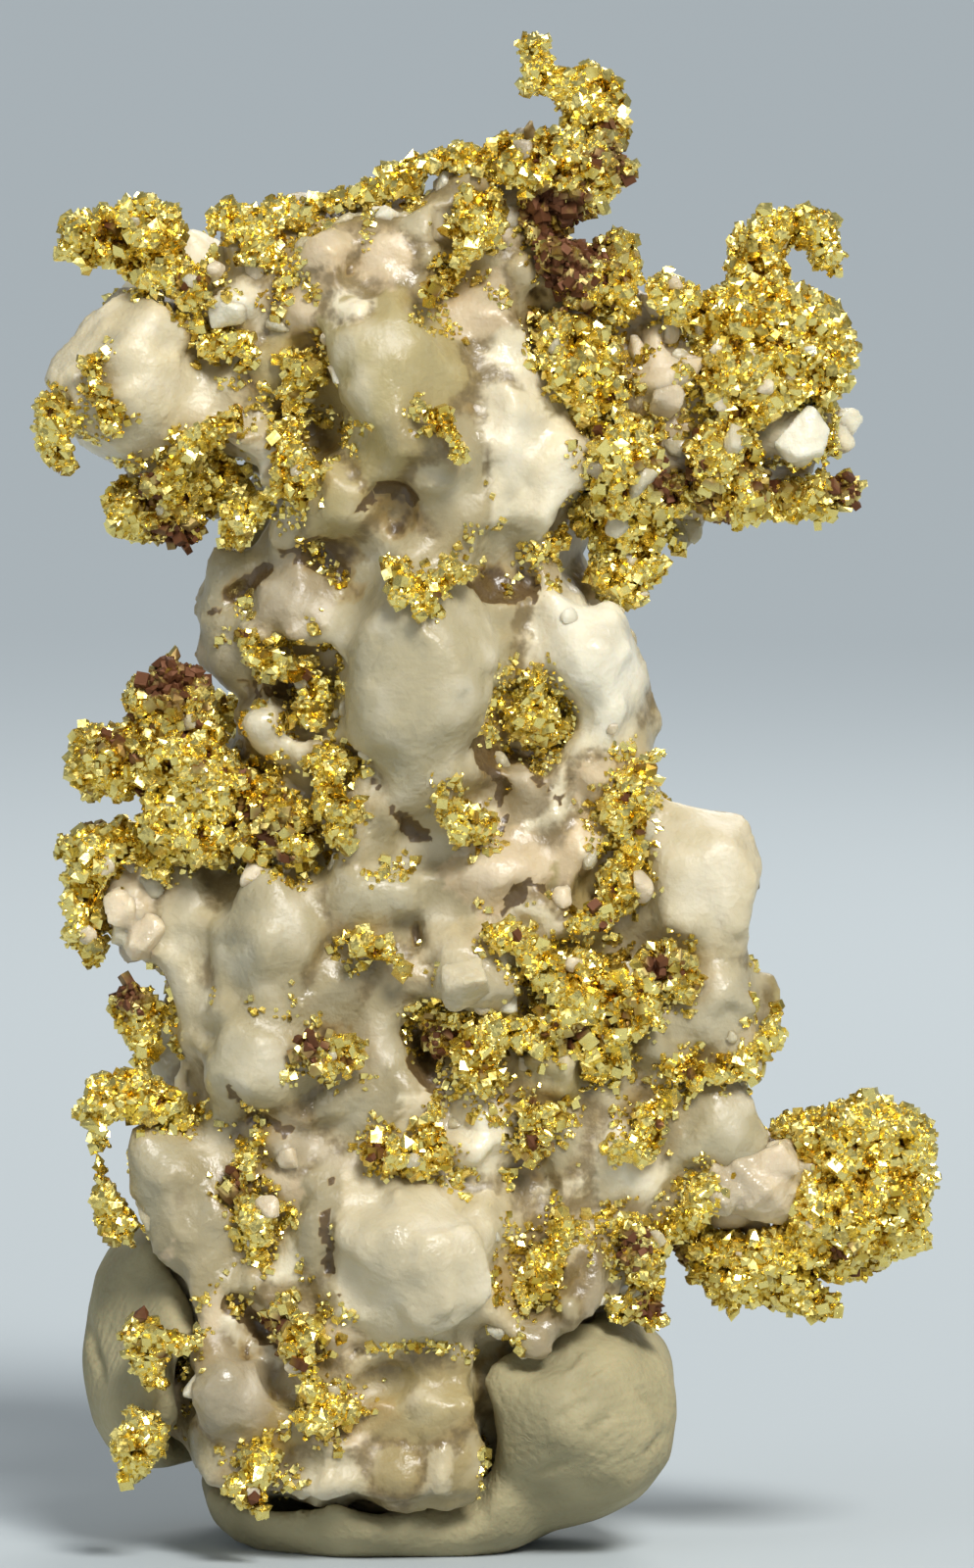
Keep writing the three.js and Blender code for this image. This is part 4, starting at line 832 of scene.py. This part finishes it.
def quartzSurface(piece, form, seed, goldNear):
    evenGrid(piece, form["pitch"])
    for distance in (form["closed"], -form["closed"]):  # swelling and shrinking fills the narrow clefts
        swollen(piece, distance)
        evenGrid(piece, form["pitch"])
    mesh = piece.data
    edges = readEdges(mesh)
    places = smoothed(readPlaces(mesh), edges, form["rounding"])
    writePlaces(mesh, places)
    lumps = lumpMap(places, surfaceTree([piece]), form, seed)
    calm, tone = lumpCharacter(lumps, form, seed)
    broken = 1 - calm
    normals = readNormals(mesh)
    away = distancesTo(goldNear, places, 3.0)
    nearReach, farReach = form["goldReach"]
    nearness = np.exp(-(away / nearReach) ** 2)
    reach, share = form["crushed"]
    broken = np.maximum(broken, share * np.exp(-(away / reach) ** 2))
    border = 1 - smoothStep(lumps["edge"], 0.0, form["grooveWidth"])
    size, share = form["unevenGroove"]
    uneven = smoothStep(layeredNoise(places, size, seed + 80, 2), -0.35, 0.3)
    lift = form["grown"] + waves(places, form["waves"], seed) + form["fillByGold"] * nearness
    lift -= form["shoulder"] * (1 - smoothStep(lumps["edge"], 0.0, form["shoulderWidth"]))
    lift += form["step"] * broken * (cellHash(lumps["key"], seed + 73) - 0.5)
    lift -= form["groove"] * border * (share + (1 - share) * uneven)
    lift += (0.4 + 0.6 * broken) * brokenFaces(places, form["faces"], seed + 20)
    lift += broken ** 2 * brokenFaces(places, form["smallFaces"], seed + 40)
    size, height = form["grain"]
    lift += height * (0.3 + 0.7 * broken) * layeredNoise(places, size, seed + 60)
    size, reach = form["wander"]
    wander = reach * threeNoises(places, size, seed + 90, 1)
    cracks = trailShare(places + wander, normals, quartzCracks)
    lift -= form["crackDepth"] * cracks
    moved = places + normals * lift[:, None]
    cuts = faceCuts(moved, lumps, calm, form, seed) * smoothStep(lumps["edge"], 0.0, form["fade"])[:, None]
    moved = moved + smoothed(cuts, edges, 1, 0.3)
    front = smoothStep(-normals[:, 1], 0.0, 0.5)
    for across, height, radius, depth in quartzPits:
        weight = spotWeights(moved, across, height, radius) * front * (moved[:, 1] < 0)
        moved[:, 1] += depth * smoothStep(weight, 0.1, 0.9)
    writePlaces(mesh, moved)
    before = moved
    mesh, edges, moved, normals = evenSurface(piece, form["pitch"], 1, 0.3)
    edge, seam, away, tone, cracks, border = carriedOver(
        before, moved, [lumps["edge"], border * uneven, away, tone, cracks, border],
    )
    storeValues(mesh, "hollow", spread(hollowAt(moved, normals, edges, *form["hollow"]), edges, 1))
    storeValues(mesh, "edge", spread(np.minimum(edge, 3.0), edges, 1))
    storeValues(mesh, "seam", spread(seam, edges, 1))
    storeValues(mesh, "nearGold", np.exp(-away / farReach))
    onSpots, inCracks = form["stain"]
    storeValues(mesh, "stain", stainAt(moved) * onSpots + cracks * inCracks)
    storeColours(mesh, "tone", tone)
    return {"places": moved, "normals": normals, "away": away, "border": border}


# Gold

goldGroups = {
    "gold_spire": ["spire"],
    "gold_crest": ["crest", "crest_face"],
    "gold_saddle": ["saddle"],
    "gold_horn": ["left_horn", "left_crest", "left_shoulder"],
    "gold_lump": ["lump_streak", "lump_patch", "under_lump", "under_neck"],
    "gold_throat": ["throat", "crystal_vein", "crack_left", "crack_right"],
    "gold_shoulder": ["shoulder_face", "arm_face", "arm_drop"],
    "gold_hook": ["hook"],
    "gold_arm": ["arm_crown", "arm_seam", "arm_underside"],
    "gold_neck": ["neck_vein", "neck_fan", "centre_vein", "tip_vein"],
    "gold_triangle": ["triangle"],
    "gold_flank": ["left_flank", "left_nub", "left_spike", "left_strip"],
    "gold_band": ["main_band", "band_end", "middle_vein", "right_seam"],
    "gold_seams": ["block_vein", "brown_vein", "lower_seam", "lower_strand", "lower_rosette"],
    "gold_foot": [
        "foot_vein", "foot_grain", "tooth_left", "tooth_right", "lower_left", "lower_corner", "base_grain",
    ],
    "gold_lobe": ["lobe"],
    "gold_back": ["back_crest", "back_band", "back_low"],
}
goldForm = {
    "pitch": 0.18, "rounding": 3, "grown": -0.05, "lumps": (2.0, 0.45), "buds": (0.9, 0.34),
    "budRange": (0.1, 0.75), "pits": (1.2, 0.6), "pitRange": (0.12, 0.38), "faces": (0.6, 0.2, 0.5),
    "hollow": (16, 0.3), "spacing": 0.275, "smallest": 0.1, "largest": 0.35,
}
goldRounding = {"gold_lobe": 7, "gold_triangle": 5}
goldGrowth = {"gold_lobe": 0.2, "gold_lump": -0.12, "gold_arm": 0.02, "gold_back": -0.16}


def goldSurface(piece, form, seed):
    mesh, edges, places, normals = evenSurface(piece, form["pitch"], form["rounding"])
    lift = form["grown"] + waves(places, form["lumps"], seed)
    size, height = form["buds"]
    buds = cellNoise(places, size, seed + 30)
    lift += height * (0.5 - smoothStep(buds["nearest"], *form["budRange"]))
    size, depth = form["pits"]
    pits = cellNoise(places, size, seed + 50)
    lift -= depth * (1 - smoothStep(pits["nearest"], *form["pitRange"]))
    lift += brokenFaces(places, form["faces"], seed + 70)
    places = places + normals * lift[:, None]
    writePlaces(mesh, places)
    normals = readNormals(mesh)
    storeValues(mesh, "hollow", hollowAt(places, normals, edges, *form["hollow"]))
    storeValues(mesh, "stain", stainAt(places))
    storeValues(mesh, "cover", np.ones(len(places)))


goldPieces = {}
for index, (name, nodes) in enumerate(goldGroups.items()):
    piece = nodeCopy(name, nodes)
    form = {
        **goldForm, "rounding": goldRounding.get(name, goldForm["rounding"]),
        "grown": goldGrowth.get(name, goldForm["grown"]),
    }
    goldSurface(piece, form, 100 + index)
    goldPieces[name] = piece
goldTree = surfaceTree(goldPieces.values())
print("gold formed")

quartzPiece = nodeCopy("milky_quartz", ["quartz"])
quartzCover = quartzSurface(quartzPiece, quartzForm, 3, goldTree)
lobeQuartzPiece = nodeCopy("lobe_rock", ["lobe_quartz"])
lobeForm = {**quartzForm, "pitch": 0.2, "fillByGold": 0.2, "closed": 0.3, "cut": 0.4, "grown": 0.4}
quartzSurface(lobeQuartzPiece, lobeForm, 5, goldTree)
print("quartz formed", len(quartzPiece.data.polygons))


# Broken bits of quartz held in the gold: across, height, radius, tone
quartzBits = [
    (9.4, 50.9, 1.0, "white"), (8.9, 52.6, 0.5, "pink"), (10.4, 52.6, 0.6, "pink"),
    (11.4, 50.4, 0.6, "pale"), (22.2, 59.0, 0.6, "pale"), (21.3, 57.6, 0.6, "lilac"),
    (20.7, 54.8, 0.9, "lilac"), (23.6, 55.6, 0.4, "pink"), (26.6, 51.1, 0.8, "pink"),
    (27.5, 52.1, 0.45, "pink"), (26.1, 49.3, 0.8, "pink"), (27.2, 47.4, 1.0, "pink"),
    (25.8, 47.3, 0.7, "pink"), (28.2, 48.7, 0.8, "pink"), (28.5, 50.3, 0.5, "pale"),
    (27.3, 50.0, 0.6, "pink"), (29.3, 47.3, 0.5, "pink"), (29.2, 49.4, 0.4, "pink"),
    (24.3, 50.7, 0.4, "pale"), (24.4, 44.6, 0.5, "lilac"), (26.2, 44.0, 0.8, "pale"),
    (27.6, 45.4, 0.7, "pale"), (30.0, 45.6, 0.9, "pale"), (32.5, 46.0, 1.4, "white"),
    (34.5, 46.4, 0.8, "white"), (31.2, 47.9, 0.5, "pink"), (33.8, 44.6, 0.4, "pale"),
    (25.2, 42.2, 0.6, "pale"), (28.2, 42.0, 0.7, "grey"), (22.8, 49.6, 0.6, "pale"),
    (25.6, 40.8, 0.5, "pink"), (26.2, 39.4, 0.4, "pink"), (23.2, 38.6, 0.5, "white"),
    (30.6, 49.2, 0.3, "pink"), (33.0, 49.3, 0.4, "white"), (32.2, 48.4, 0.35, "pink"),
    (5.6, 54.6, 0.35, "pale"), (7.9, 52.2, 0.5, "pale"), (7.7, 34.4, 0.6, "cream"),
    (8.2, 31.6, 0.3, "pink"), (7.0, 30.9, 0.3, "pink"), (9.8, 33.2, 0.35, "pale"), (4.9, 26.6, 1.0, "pink"),
    (5.9, 25.4, 1.1, "pink"), (4.3, 28.4, 0.5, "pink"), (5.4, 28.2, 0.6, "pink"), (3.6, 25.4, 0.5, "pink"),
    (6.2, 27.4, 0.7, "pale"), (19.0, 23.9, 1.4, "cream"), (20.8, 24.6, 0.7, "cream"),
    (23.4, 24.6, 0.5, "pink"), (25.6, 24.2, 0.5, "pale"), (21.4, 20.4, 0.4, "pink"),
    (24.6, 21.6, 0.35, "pink"), (26.0, 27.6, 0.8, "pink"), (24.9, 28.8, 0.7, "pink"),
    (26.4, 29.8, 0.5, "pale"), (22.9, 27.2, 0.6, "pink"), (30.9, 15.2, 2.0, "pink"),
    (29.6, 15.6, 1.2, "pink"), (31.8, 16.3, 1.1, "pink"), (29.2, 14.5, 0.8, "pink"),
    (31.0, 14.4, 0.9, "pink"), (32.2, 14.9, 0.6, "pink"), (32.0, 16.9, 0.5, "pink"),
    (33.1, 15.9, 0.4, "pink"), (33.0, 13.6, 0.35, "pink"), (30.2, 12.4, 0.3, "pink"),
    (34.4, 14.4, 0.25, "pink"), (26.8, 13.2, 0.5, "pale"), (26.0, 11.0, 0.4, "pale"),
    (11.0, 14.6, 0.7, "pink"), (11.9, 16.6, 0.6, "pink"), (10.4, 13.0, 0.4, "pale"),
    (18.6, 17.9, 0.5, "pale"), (16.9, 16.6, 0.5, "pale"), (6.6, 8.6, 0.4, "pale"), (5.8, 6.4, 0.4, "pale"),
    (12.2, 8.2, 0.7, "pink"), (13.6, 7.2, 0.5, "pale"), (10.4, 3.2, 0.5, "pink"), (4.4, 20.2, 0.5, "pale"),
    (4.6, 17.0, 0.4, "pale"), (24.9, 34.0, 0.4, "pink"), (21.8, 35.6, 0.35, "pale"),
    (29.9, 21.4, 0.4, "pale"), (30.9, 20.2, 0.35, "pink"), (13.6, 20.9, 0.35, "pale"),
    (13.8, 34.6, 0.4, "pale"), (12.4, 35.8, 0.5, "pale"), (6.6, 42.8, 0.4, "pale"),
    (8.8, 42.6, 0.35, "pink"), (12.6, 47.4, 0.4, "pale"), (12.2, 44.6, 0.4, "pale"),
]
bitForm = {
    "pitch": 0.13, "rounding": 2, "sunk": 0.12, "corners": 16, "flat": 0.75, "grain": (0.5, 0.05),
    "loose": 150, "looseRadius": (0.35, 0.85), "looseAway": (0.15, 0.9), "cornerReach": (0.8, 0.35),
    "hollow": (10, 0.2), "besideGold": (0.25, 0.6), "stain": 0.5, "toneRange": (0.85, 0.25),
}


def brokenBit(shape, form, centre, outward, radius, number):
    turned = Vector(outward).to_track_quat("Z", "Y").to_matrix()
    corners = []
    least, spare = form["cornerReach"]
    for corner in range(form["corners"]):
        key = np.array([[number, corner, 3]])
        direction = directionsFor(key, 11)[0]
        length = radius * (least + spare * cellHash(key, 17)[0])
        local = Vector(direction) * length
        local.z *= form["flat"]
        corners.append(shape.verts.new(Vector(centre) + turned @ local))
    made = bmesh.ops.convex_hull(shape, input=corners)
    unused = [item for item in made["geom_interior"] if isinstance(item, bmesh.types.BMVert)]
    bmesh.ops.delete(shape, geom=unused, context="VERTS")


def quartzBitsPiece(name, form, tree, cover):
    shape = bmesh.new()
    bits = []
    for number, (across, height, radius, tone) in enumerate(quartzBits):
        found = tree.ray_cast(Vector((across - middleAcross, -40, height)), Vector((0, 1, 0)))
        if found[0] is None:
            continue
        outward = (found[1] + Vector((0, -0.8, 0))).normalized()
        centre = found[0] - outward * form["sunk"] * radius
        brokenBit(shape, form, centre, outward, radius, number)
        bits.append((centre, quartzTones[tone]))
    # the same on the sides and the back, beside the gold
    nearest, farthest = form["looseAway"]
    beside = (cover["away"] > nearest) & (cover["away"] < farthest) & (cover["normals"][:, 1] > -0.35)
    beside = np.flatnonzero(beside)
    order = np.argsort(cellHash(keysOf(beside, 5, 9), 23))
    small, large = form["looseRadius"]
    for number, corner in enumerate(beside[order[:form["loose"]]]):
        key = np.array([[number, 1, 2]])
        radius = small + (large - small) * cellHash(key, 31)[0] ** 2
        outward = Vector(cover["normals"][corner])
        centre = Vector(cover["places"][corner]) - outward * form["sunk"] * radius
        brokenBit(shape, form, centre, outward, radius, 500 + number)
        tone = ["pink", "white", "pale"][int(cellHash(key, 37)[0] * 3)]
        bits.append((centre, quartzTones[tone]))
    mesh = bpy.data.meshes.new(name)
    shape.to_mesh(mesh)
    shape.free()
    piece = newObject(name, mesh)
    mesh, edges, places, normals = evenSurface(piece, form["pitch"], form["rounding"], 0.4)
    places = places + normals * waves(places, form["grain"], 77)[:, None]
    writePlaces(mesh, places)
    middles, tones = [np.array(values) for values in zip(*bits)]
    nearest = np.zeros(len(places), int)
    for start in range(0, len(places), 4000):
        part = places[start:start + 4000]
        nearest[start:start + 4000] = np.linalg.norm(part[:, None] - middles[None], axis=2).argmin(axis=1)
    darkest, spare = form["toneRange"]
    shade = darkest + spare * cellHash(keysOf(nearest, 2, 4), 41)
    storeColours(mesh, "tone", tones[nearest] * shade[:, None])
    storeValues(mesh, "hollow", hollowAt(places, normals, edges, *form["hollow"]))
    reach, share = form["besideGold"]
    storeValues(mesh, "nearGold", np.exp(-distancesTo(tree, places, 2.0) / reach) * share)
    storeValues(mesh, "stain", stainAt(places) * form["stain"])
    storeValues(mesh, "seam", np.zeros(len(places)))
    storeValues(mesh, "edge", np.full(len(places), 1.0))
    return piece


everyTree = surfaceTree([*goldPieces.values(), quartzPiece, lobeQuartzPiece])
bitsPiece = quartzBitsPiece("quartz_bits", bitForm, everyTree, quartzCover)
print("bits of quartz formed", len(bitsPiece.data.polygons))

# Thin veins and specks of gold with no solid of their own: across, height, radius along each
goldTrails = [
    [(17.1, 50.8, 0.4), (18.7, 50.1, 0.4)],
    [(15.1, 54.9, 0.3), (15.1, 53.6, 0.25)],
    [(14.1, 46.2, 0.35), (15.0, 46.4, 0.3)],
    [(14.3, 45.6, 0.3), (14.6, 45.3, 0.2)],
    [(12.4, 41.7, 0.3), (13.1, 40.8, 0.35), (14.1, 40.0, 0.3)],
    [(15.2, 28.2, 0.5), (16.6, 28.5, 0.5)],
    [(19.8, 4.5, 0.3), (19.7, 2.4, 0.25)],
    [(17.3, 12.1, 0.2), (17.1, 11.8, 0.2)],
    [(15.4, 8.9, 0.3), (16.9, 9.1, 0.3), (18.6, 8.8, 0.25), (19.3, 8.6, 0.3)],
    [(11.6, 1.8, 0.4), (12.1, 1.3, 0.4)],
    [(13.9, 10.2, 0.4), (14.3, 10.2, 0.3)],
    [(23.0, 17.9, 0.4), (23.9, 18.3, 0.4)],
    [(26.6, 19.2, 0.4), (27.4, 20.2, 0.5), (28.4, 20.8, 0.4)],
    [(25.6, 47.0, 0.3), (26.2, 49.0, 0.3), (27.6, 50.4, 0.4)],
    [(26.8, 47.2, 0.25), (28.2, 48.2, 0.4)],
    [(12.4, 52.3, 0.3), (13.1, 51.6, 0.3)],
    [(9.2, 52.0, 0.4), (9.8, 51.0, 0.4)],
    [(19.6, 52.4, 0.4), (20.6, 51.4, 0.3)],
    [(11.6, 46.8, 0.4), (12.2, 42.6, 0.5)],
    [(24.8, 31.2, 0.4), (24.2, 29.6, 0.3)],
    [(26.4, 31.4, 0.4), (26.6, 29.4, 0.4)],
    [(19.4, 26.9, 0.3), (21.0, 26.0, 0.4), (22.6, 25.2, 0.5)],
    [(18.2, 19.8, 0.5), (19.4, 18.8, 0.5), (20.6, 18.0, 0.4)],
    [(9.6, 28.2, 0.3), (12.4, 27.8, 0.35)],
    [(25.6, 20.6, 0.5), (26.4, 18.8, 0.5)],
    [(9.6, 10.4, 0.25), (12.6, 8.4, 0.35)],
]
trailForm = {
    "spacing": 0.22, "smallest": 0.09, "largest": 0.26, "reach": 1.0, "patch": 0.9, "strength": 0.95,
    "fringe": (-0.55, -0.35), "seamPatch": 3.2, "seamZones": (0.08, 0.25), "seamEdge": (0.5, 0.8),
    "stain": 0.35,
}


def goldCover(cover):  # where the thin gold lies on the quartz: round the masses, along seams and trails
    places, normals, away = cover["places"], cover["normals"], cover["away"]
    patches = layeredNoise(places, trailForm["patch"], 71)
    fringe = smoothStep(patches * 1.1 - away / trailForm["reach"], *trailForm["fringe"])
    zones = smoothStep(softNoise(places, trailForm["seamPatch"], 73), *trailForm["seamZones"])
    seams = smoothStep(cover["border"], *trailForm["seamEdge"]) * zones * (patches > 0)
    trails = trailShare(places, normals, goldTrails) * (patches > -0.35)
    return np.maximum(np.maximum(fringe * trailForm["strength"], trails), seams)


storeValues(quartzPiece.data, "cover", goldCover(quartzCover))
specksPiece = newObject("gold_specks", quartzPiece.data.copy())
storeValues(specksPiece.data, "hollow", np.zeros(len(quartzCover["places"])))
storeValues(specksPiece.data, "stain", stainAt(quartzCover["places"]) * trailForm["stain"])
growCrystals(specksPiece, gold, 900, trailForm, keepSurface=False)
print("specks grown", len(specksPiece.data.polygons))
for index, (name, nodes) in enumerate(goldGroups.items()):
    piece = goldPieces[name]
    growCrystals(piece, gold, 200 + index, goldForm)
    placeInFrame(piece, gold, "gold", *nodes)
placeInFrame(specksPiece, gold, "gold")
placeInFrame(bitsPiece, quartz, "quartz")
for piece, node in ((quartzPiece, "quartz"), (lobeQuartzPiece, "lobe_quartz")):
    piece.data.shade_smooth()
    placeInFrame(piece, quartz, "quartz", node)


# Putty

puttyForm = {
    "pitch": 0.28, "rounding": 10, "grown": 0.16, "waves": (5.0, 0.22), "dents": (2.2, 0.1),
    "ridgeGap": 0.45, "crease": 0.28, "creaseWidth": 0.3, "creaseWander": (0.9, 0.12),
    "ridgeWander": (2.6, 0.8), "ridgeCurve": (0.35, 3.4), "foot": 0.4, "footFade": (0.1, 1.2),
    "dentRange": (0.2, 0.7), "hollow": (30, 0.5),
}
# finger prints: across, depth, height, reach, how the ridges lie
fingerPrints = [
    (24.4, -7.4, 6.0, 4.2, 0.6), (26.8, -3.0, 5.6, 4.0, -0.4), (4.4, -4.4, 8.2, 4.6, 1.2),
    (22.0, -7.2, 3.2, 3.0, 0.2), (8.0, -6.6, 3.4, 3.0, 0.9), (22.0, 6.4, 6.0, 4.6, 0.3),
    (9.0, 7.4, 6.4, 4.6, 1.0),
]
# folds pressed into the front: from one [across, height] to another
puttyCreases = [
    [(22.6, 7.9), (23.9, 8.9)], [(22.9, 7.0), (24.9, 8.6)], [(22.4, 6.0), (24.6, 7.3)],
    [(23.6, 5.4), (25.6, 6.6)], [(25.8, 7.4), (27.2, 6.0)], [(21.6, 3.6), (23.4, 4.4)],
    [(26.2, 4.2), (27.4, 5.4)], [(3.4, 9.4), (4.4, 6.6)], [(4.6, 4.8), (5.6, 3.6)],
]


def puttySurface(piece, form, seed):
    evenGrid(piece, form["pitch"])
    mesh = piece.data
    edges = readEdges(mesh)
    start = readPlaces(mesh)
    places = smoothed(start, edges, form["rounding"])
    foot = start[:, 2] < form["foot"]
    places[foot, 2] = start[foot, 2]
    writePlaces(mesh, places)
    normals = readNormals(mesh)
    lift = form["grown"] + waves(places, form["waves"], seed, 2)
    size, height = form["dents"]
    lift -= height * smoothStep(layeredNoise(places, size, seed + 9), *form["dentRange"])
    lift *= smoothStep(places[:, 2], *form["footFade"])
    places = places + normals * lift[:, None]
    places[:, 2] = np.maximum(places[:, 2], 0)
    ridge = np.zeros(len(places))
    printed = np.zeros(len(places))
    wander = waves(places, form["ridgeWander"], seed + 21)
    flatter, middle = form["ridgeCurve"]
    for across, depth, height, reach, lean in fingerPrints:
        offset = places - np.array([across - middleAcross, depth, height])
        along = offset[:, 0] * math.cos(lean) + offset[:, 2] * math.sin(lean)
        aside = -offset[:, 0] * math.sin(lean) + offset[:, 2] * math.cos(lean) + offset[:, 1] * 0.5
        curve = np.hypot(along * flatter, aside + middle) + wander
        near = 1 - smoothStep(np.linalg.norm(offset, axis=1), 0.55 * reach, reach)
        stronger = near > printed
        ridge[stronger] = (curve * 2 * math.pi / form["ridgeGap"])[stronger]
        printed = np.maximum(printed, near)
    creases = np.zeros(len(places))
    uneven = waves(places, form["creaseWander"], seed + 33)
    for start, end in puttyCreases:
        away, part = lineDistance(places, start, end)
        share = 1 - smoothStep(away + uneven, 0.0, form["creaseWidth"])
        creases = np.maximum(creases, share * np.sin(math.pi * np.clip(part, 0.05, 0.95)))
    creases = creases * (normals[:, 1] < 0)
    places = places - normals * (form["crease"] * creases)[:, None]
    places[:, 2] = np.maximum(places[:, 2], 0)
    writePlaces(mesh, places)
    storeValues(mesh, "ridge", ridge)
    storeValues(mesh, "printed", printed)
    storeValues(mesh, "hollow", hollowAt(places, readNormals(mesh), edges, *form["hollow"]))


puttyPiece = nodeCopy("putty_mound", ["putty"])
puttySurface(puttyPiece, puttyForm, 41)
puttyPiece.data.shade_smooth()
placeInFrame(puttyPiece, putty, "putty", "putty")
print("putty formed")


# Floor, lights and camera

stageValues = {
    "floor": (0.50, 0.55, 0.57), "floorHalf": 20.0, "world": (0.80, 0.88, 0.96), "worldStrength": 0.3,
    "target": (0, 0, 0.032),
    "key": {"at": (0.2, -0.42, 0.36), "size": 0.12, "power": 0.9, "colour": (1.0, 0.95, 0.87)},
    "fill": {"at": (-0.38, -0.3, 0.2), "size": 0.2, "power": 0.3, "colour": (0.93, 0.96, 1.0)},
    "back": {"at": (0.1, 0.36, 0.3), "size": 0.2, "power": 0.5, "colour": (1.0, 0.98, 0.95)},
    "sun": {"turn": (46, 0, 20), "strength": 2.5, "angle": 18},
}
cameraValues = {"distance": 0.52, "elevation": 4.2, "aim": (0.12, -3.0, 31.6), "tall": 64.0}


def areaLight(name, at, size, power, colour, target):
    light = bpy.data.lights.new(name, "AREA")
    light.energy, light.size, light.color = power, size, colour
    lamp = newObject(name, light)
    lamp.location = at
    lamp.rotation_euler = (Vector(target) - Vector(at)).to_track_quat("-Z", "Y").to_euler()


def stageAndLights(values):
    half = values["floorHalf"]
    mesh = bpy.data.meshes.new("floor")
    corners = [(-half, -half, 0), (half, -half, 0), (half, half, 0), (-half, half, 0)]
    mesh.from_pydata(corners, [], [(0, 1, 2, 3)])
    floor = newObject("floor", mesh)
    finish = newFinish("paleFloor", {"Roughness": 0.75, "Base Color": (*values["floor"], 1.0)})[0]
    mesh.materials.append(finish)
    world = bpy.data.worlds.new("studio")
    world.use_nodes = True
    background = world.node_tree.nodes["Background"]
    background.inputs["Color"].default_value = (*values["world"], 1.0)
    background.inputs["Strength"].default_value = values["worldStrength"]
    bpy.context.scene.world = world
    for name in ("key", "fill", "back"):
        areaLight(name, target=values["target"], **values[name])
    sun = bpy.data.lights.new("sun", "SUN")
    sun.energy = values["sun"]["strength"]
    sun.angle = math.radians(values["sun"]["angle"])
    newObject("sun", sun).rotation_euler = [math.radians(turn) for turn in values["sun"]["turn"]]


def frontCamera(values):
    camera = newObject("camera", bpy.data.cameras.new("camera"))
    bpy.context.scene.camera = camera
    rise = math.radians(values["elevation"])
    aim = Vector(values["aim"]) * millimetre
    back = Vector((0, -math.cos(rise), math.sin(rise)))
    camera.location = aim + back * values["distance"]
    camera.rotation_euler = (-back).to_track_quat("-Z", "Y").to_euler()
    camera.data.lens = camera.data.sensor_width * values["distance"] / (values["tall"] * millimetre)
    camera.data.clip_start = 0.01
    camera.data.clip_end = 100


stageAndLights(stageValues)
frontCamera(cameraValues)
bpy.context.scene.view_settings.view_transform = "Standard"
bounces = {"max_bounces": 4, "diffuse_bounces": 2, "glossy_bounces": 3}  # enough for an opaque specimen
for name, count in bounces.items():
    setattr(bpy.context.scene.cycles, name, count)
print("stage set")
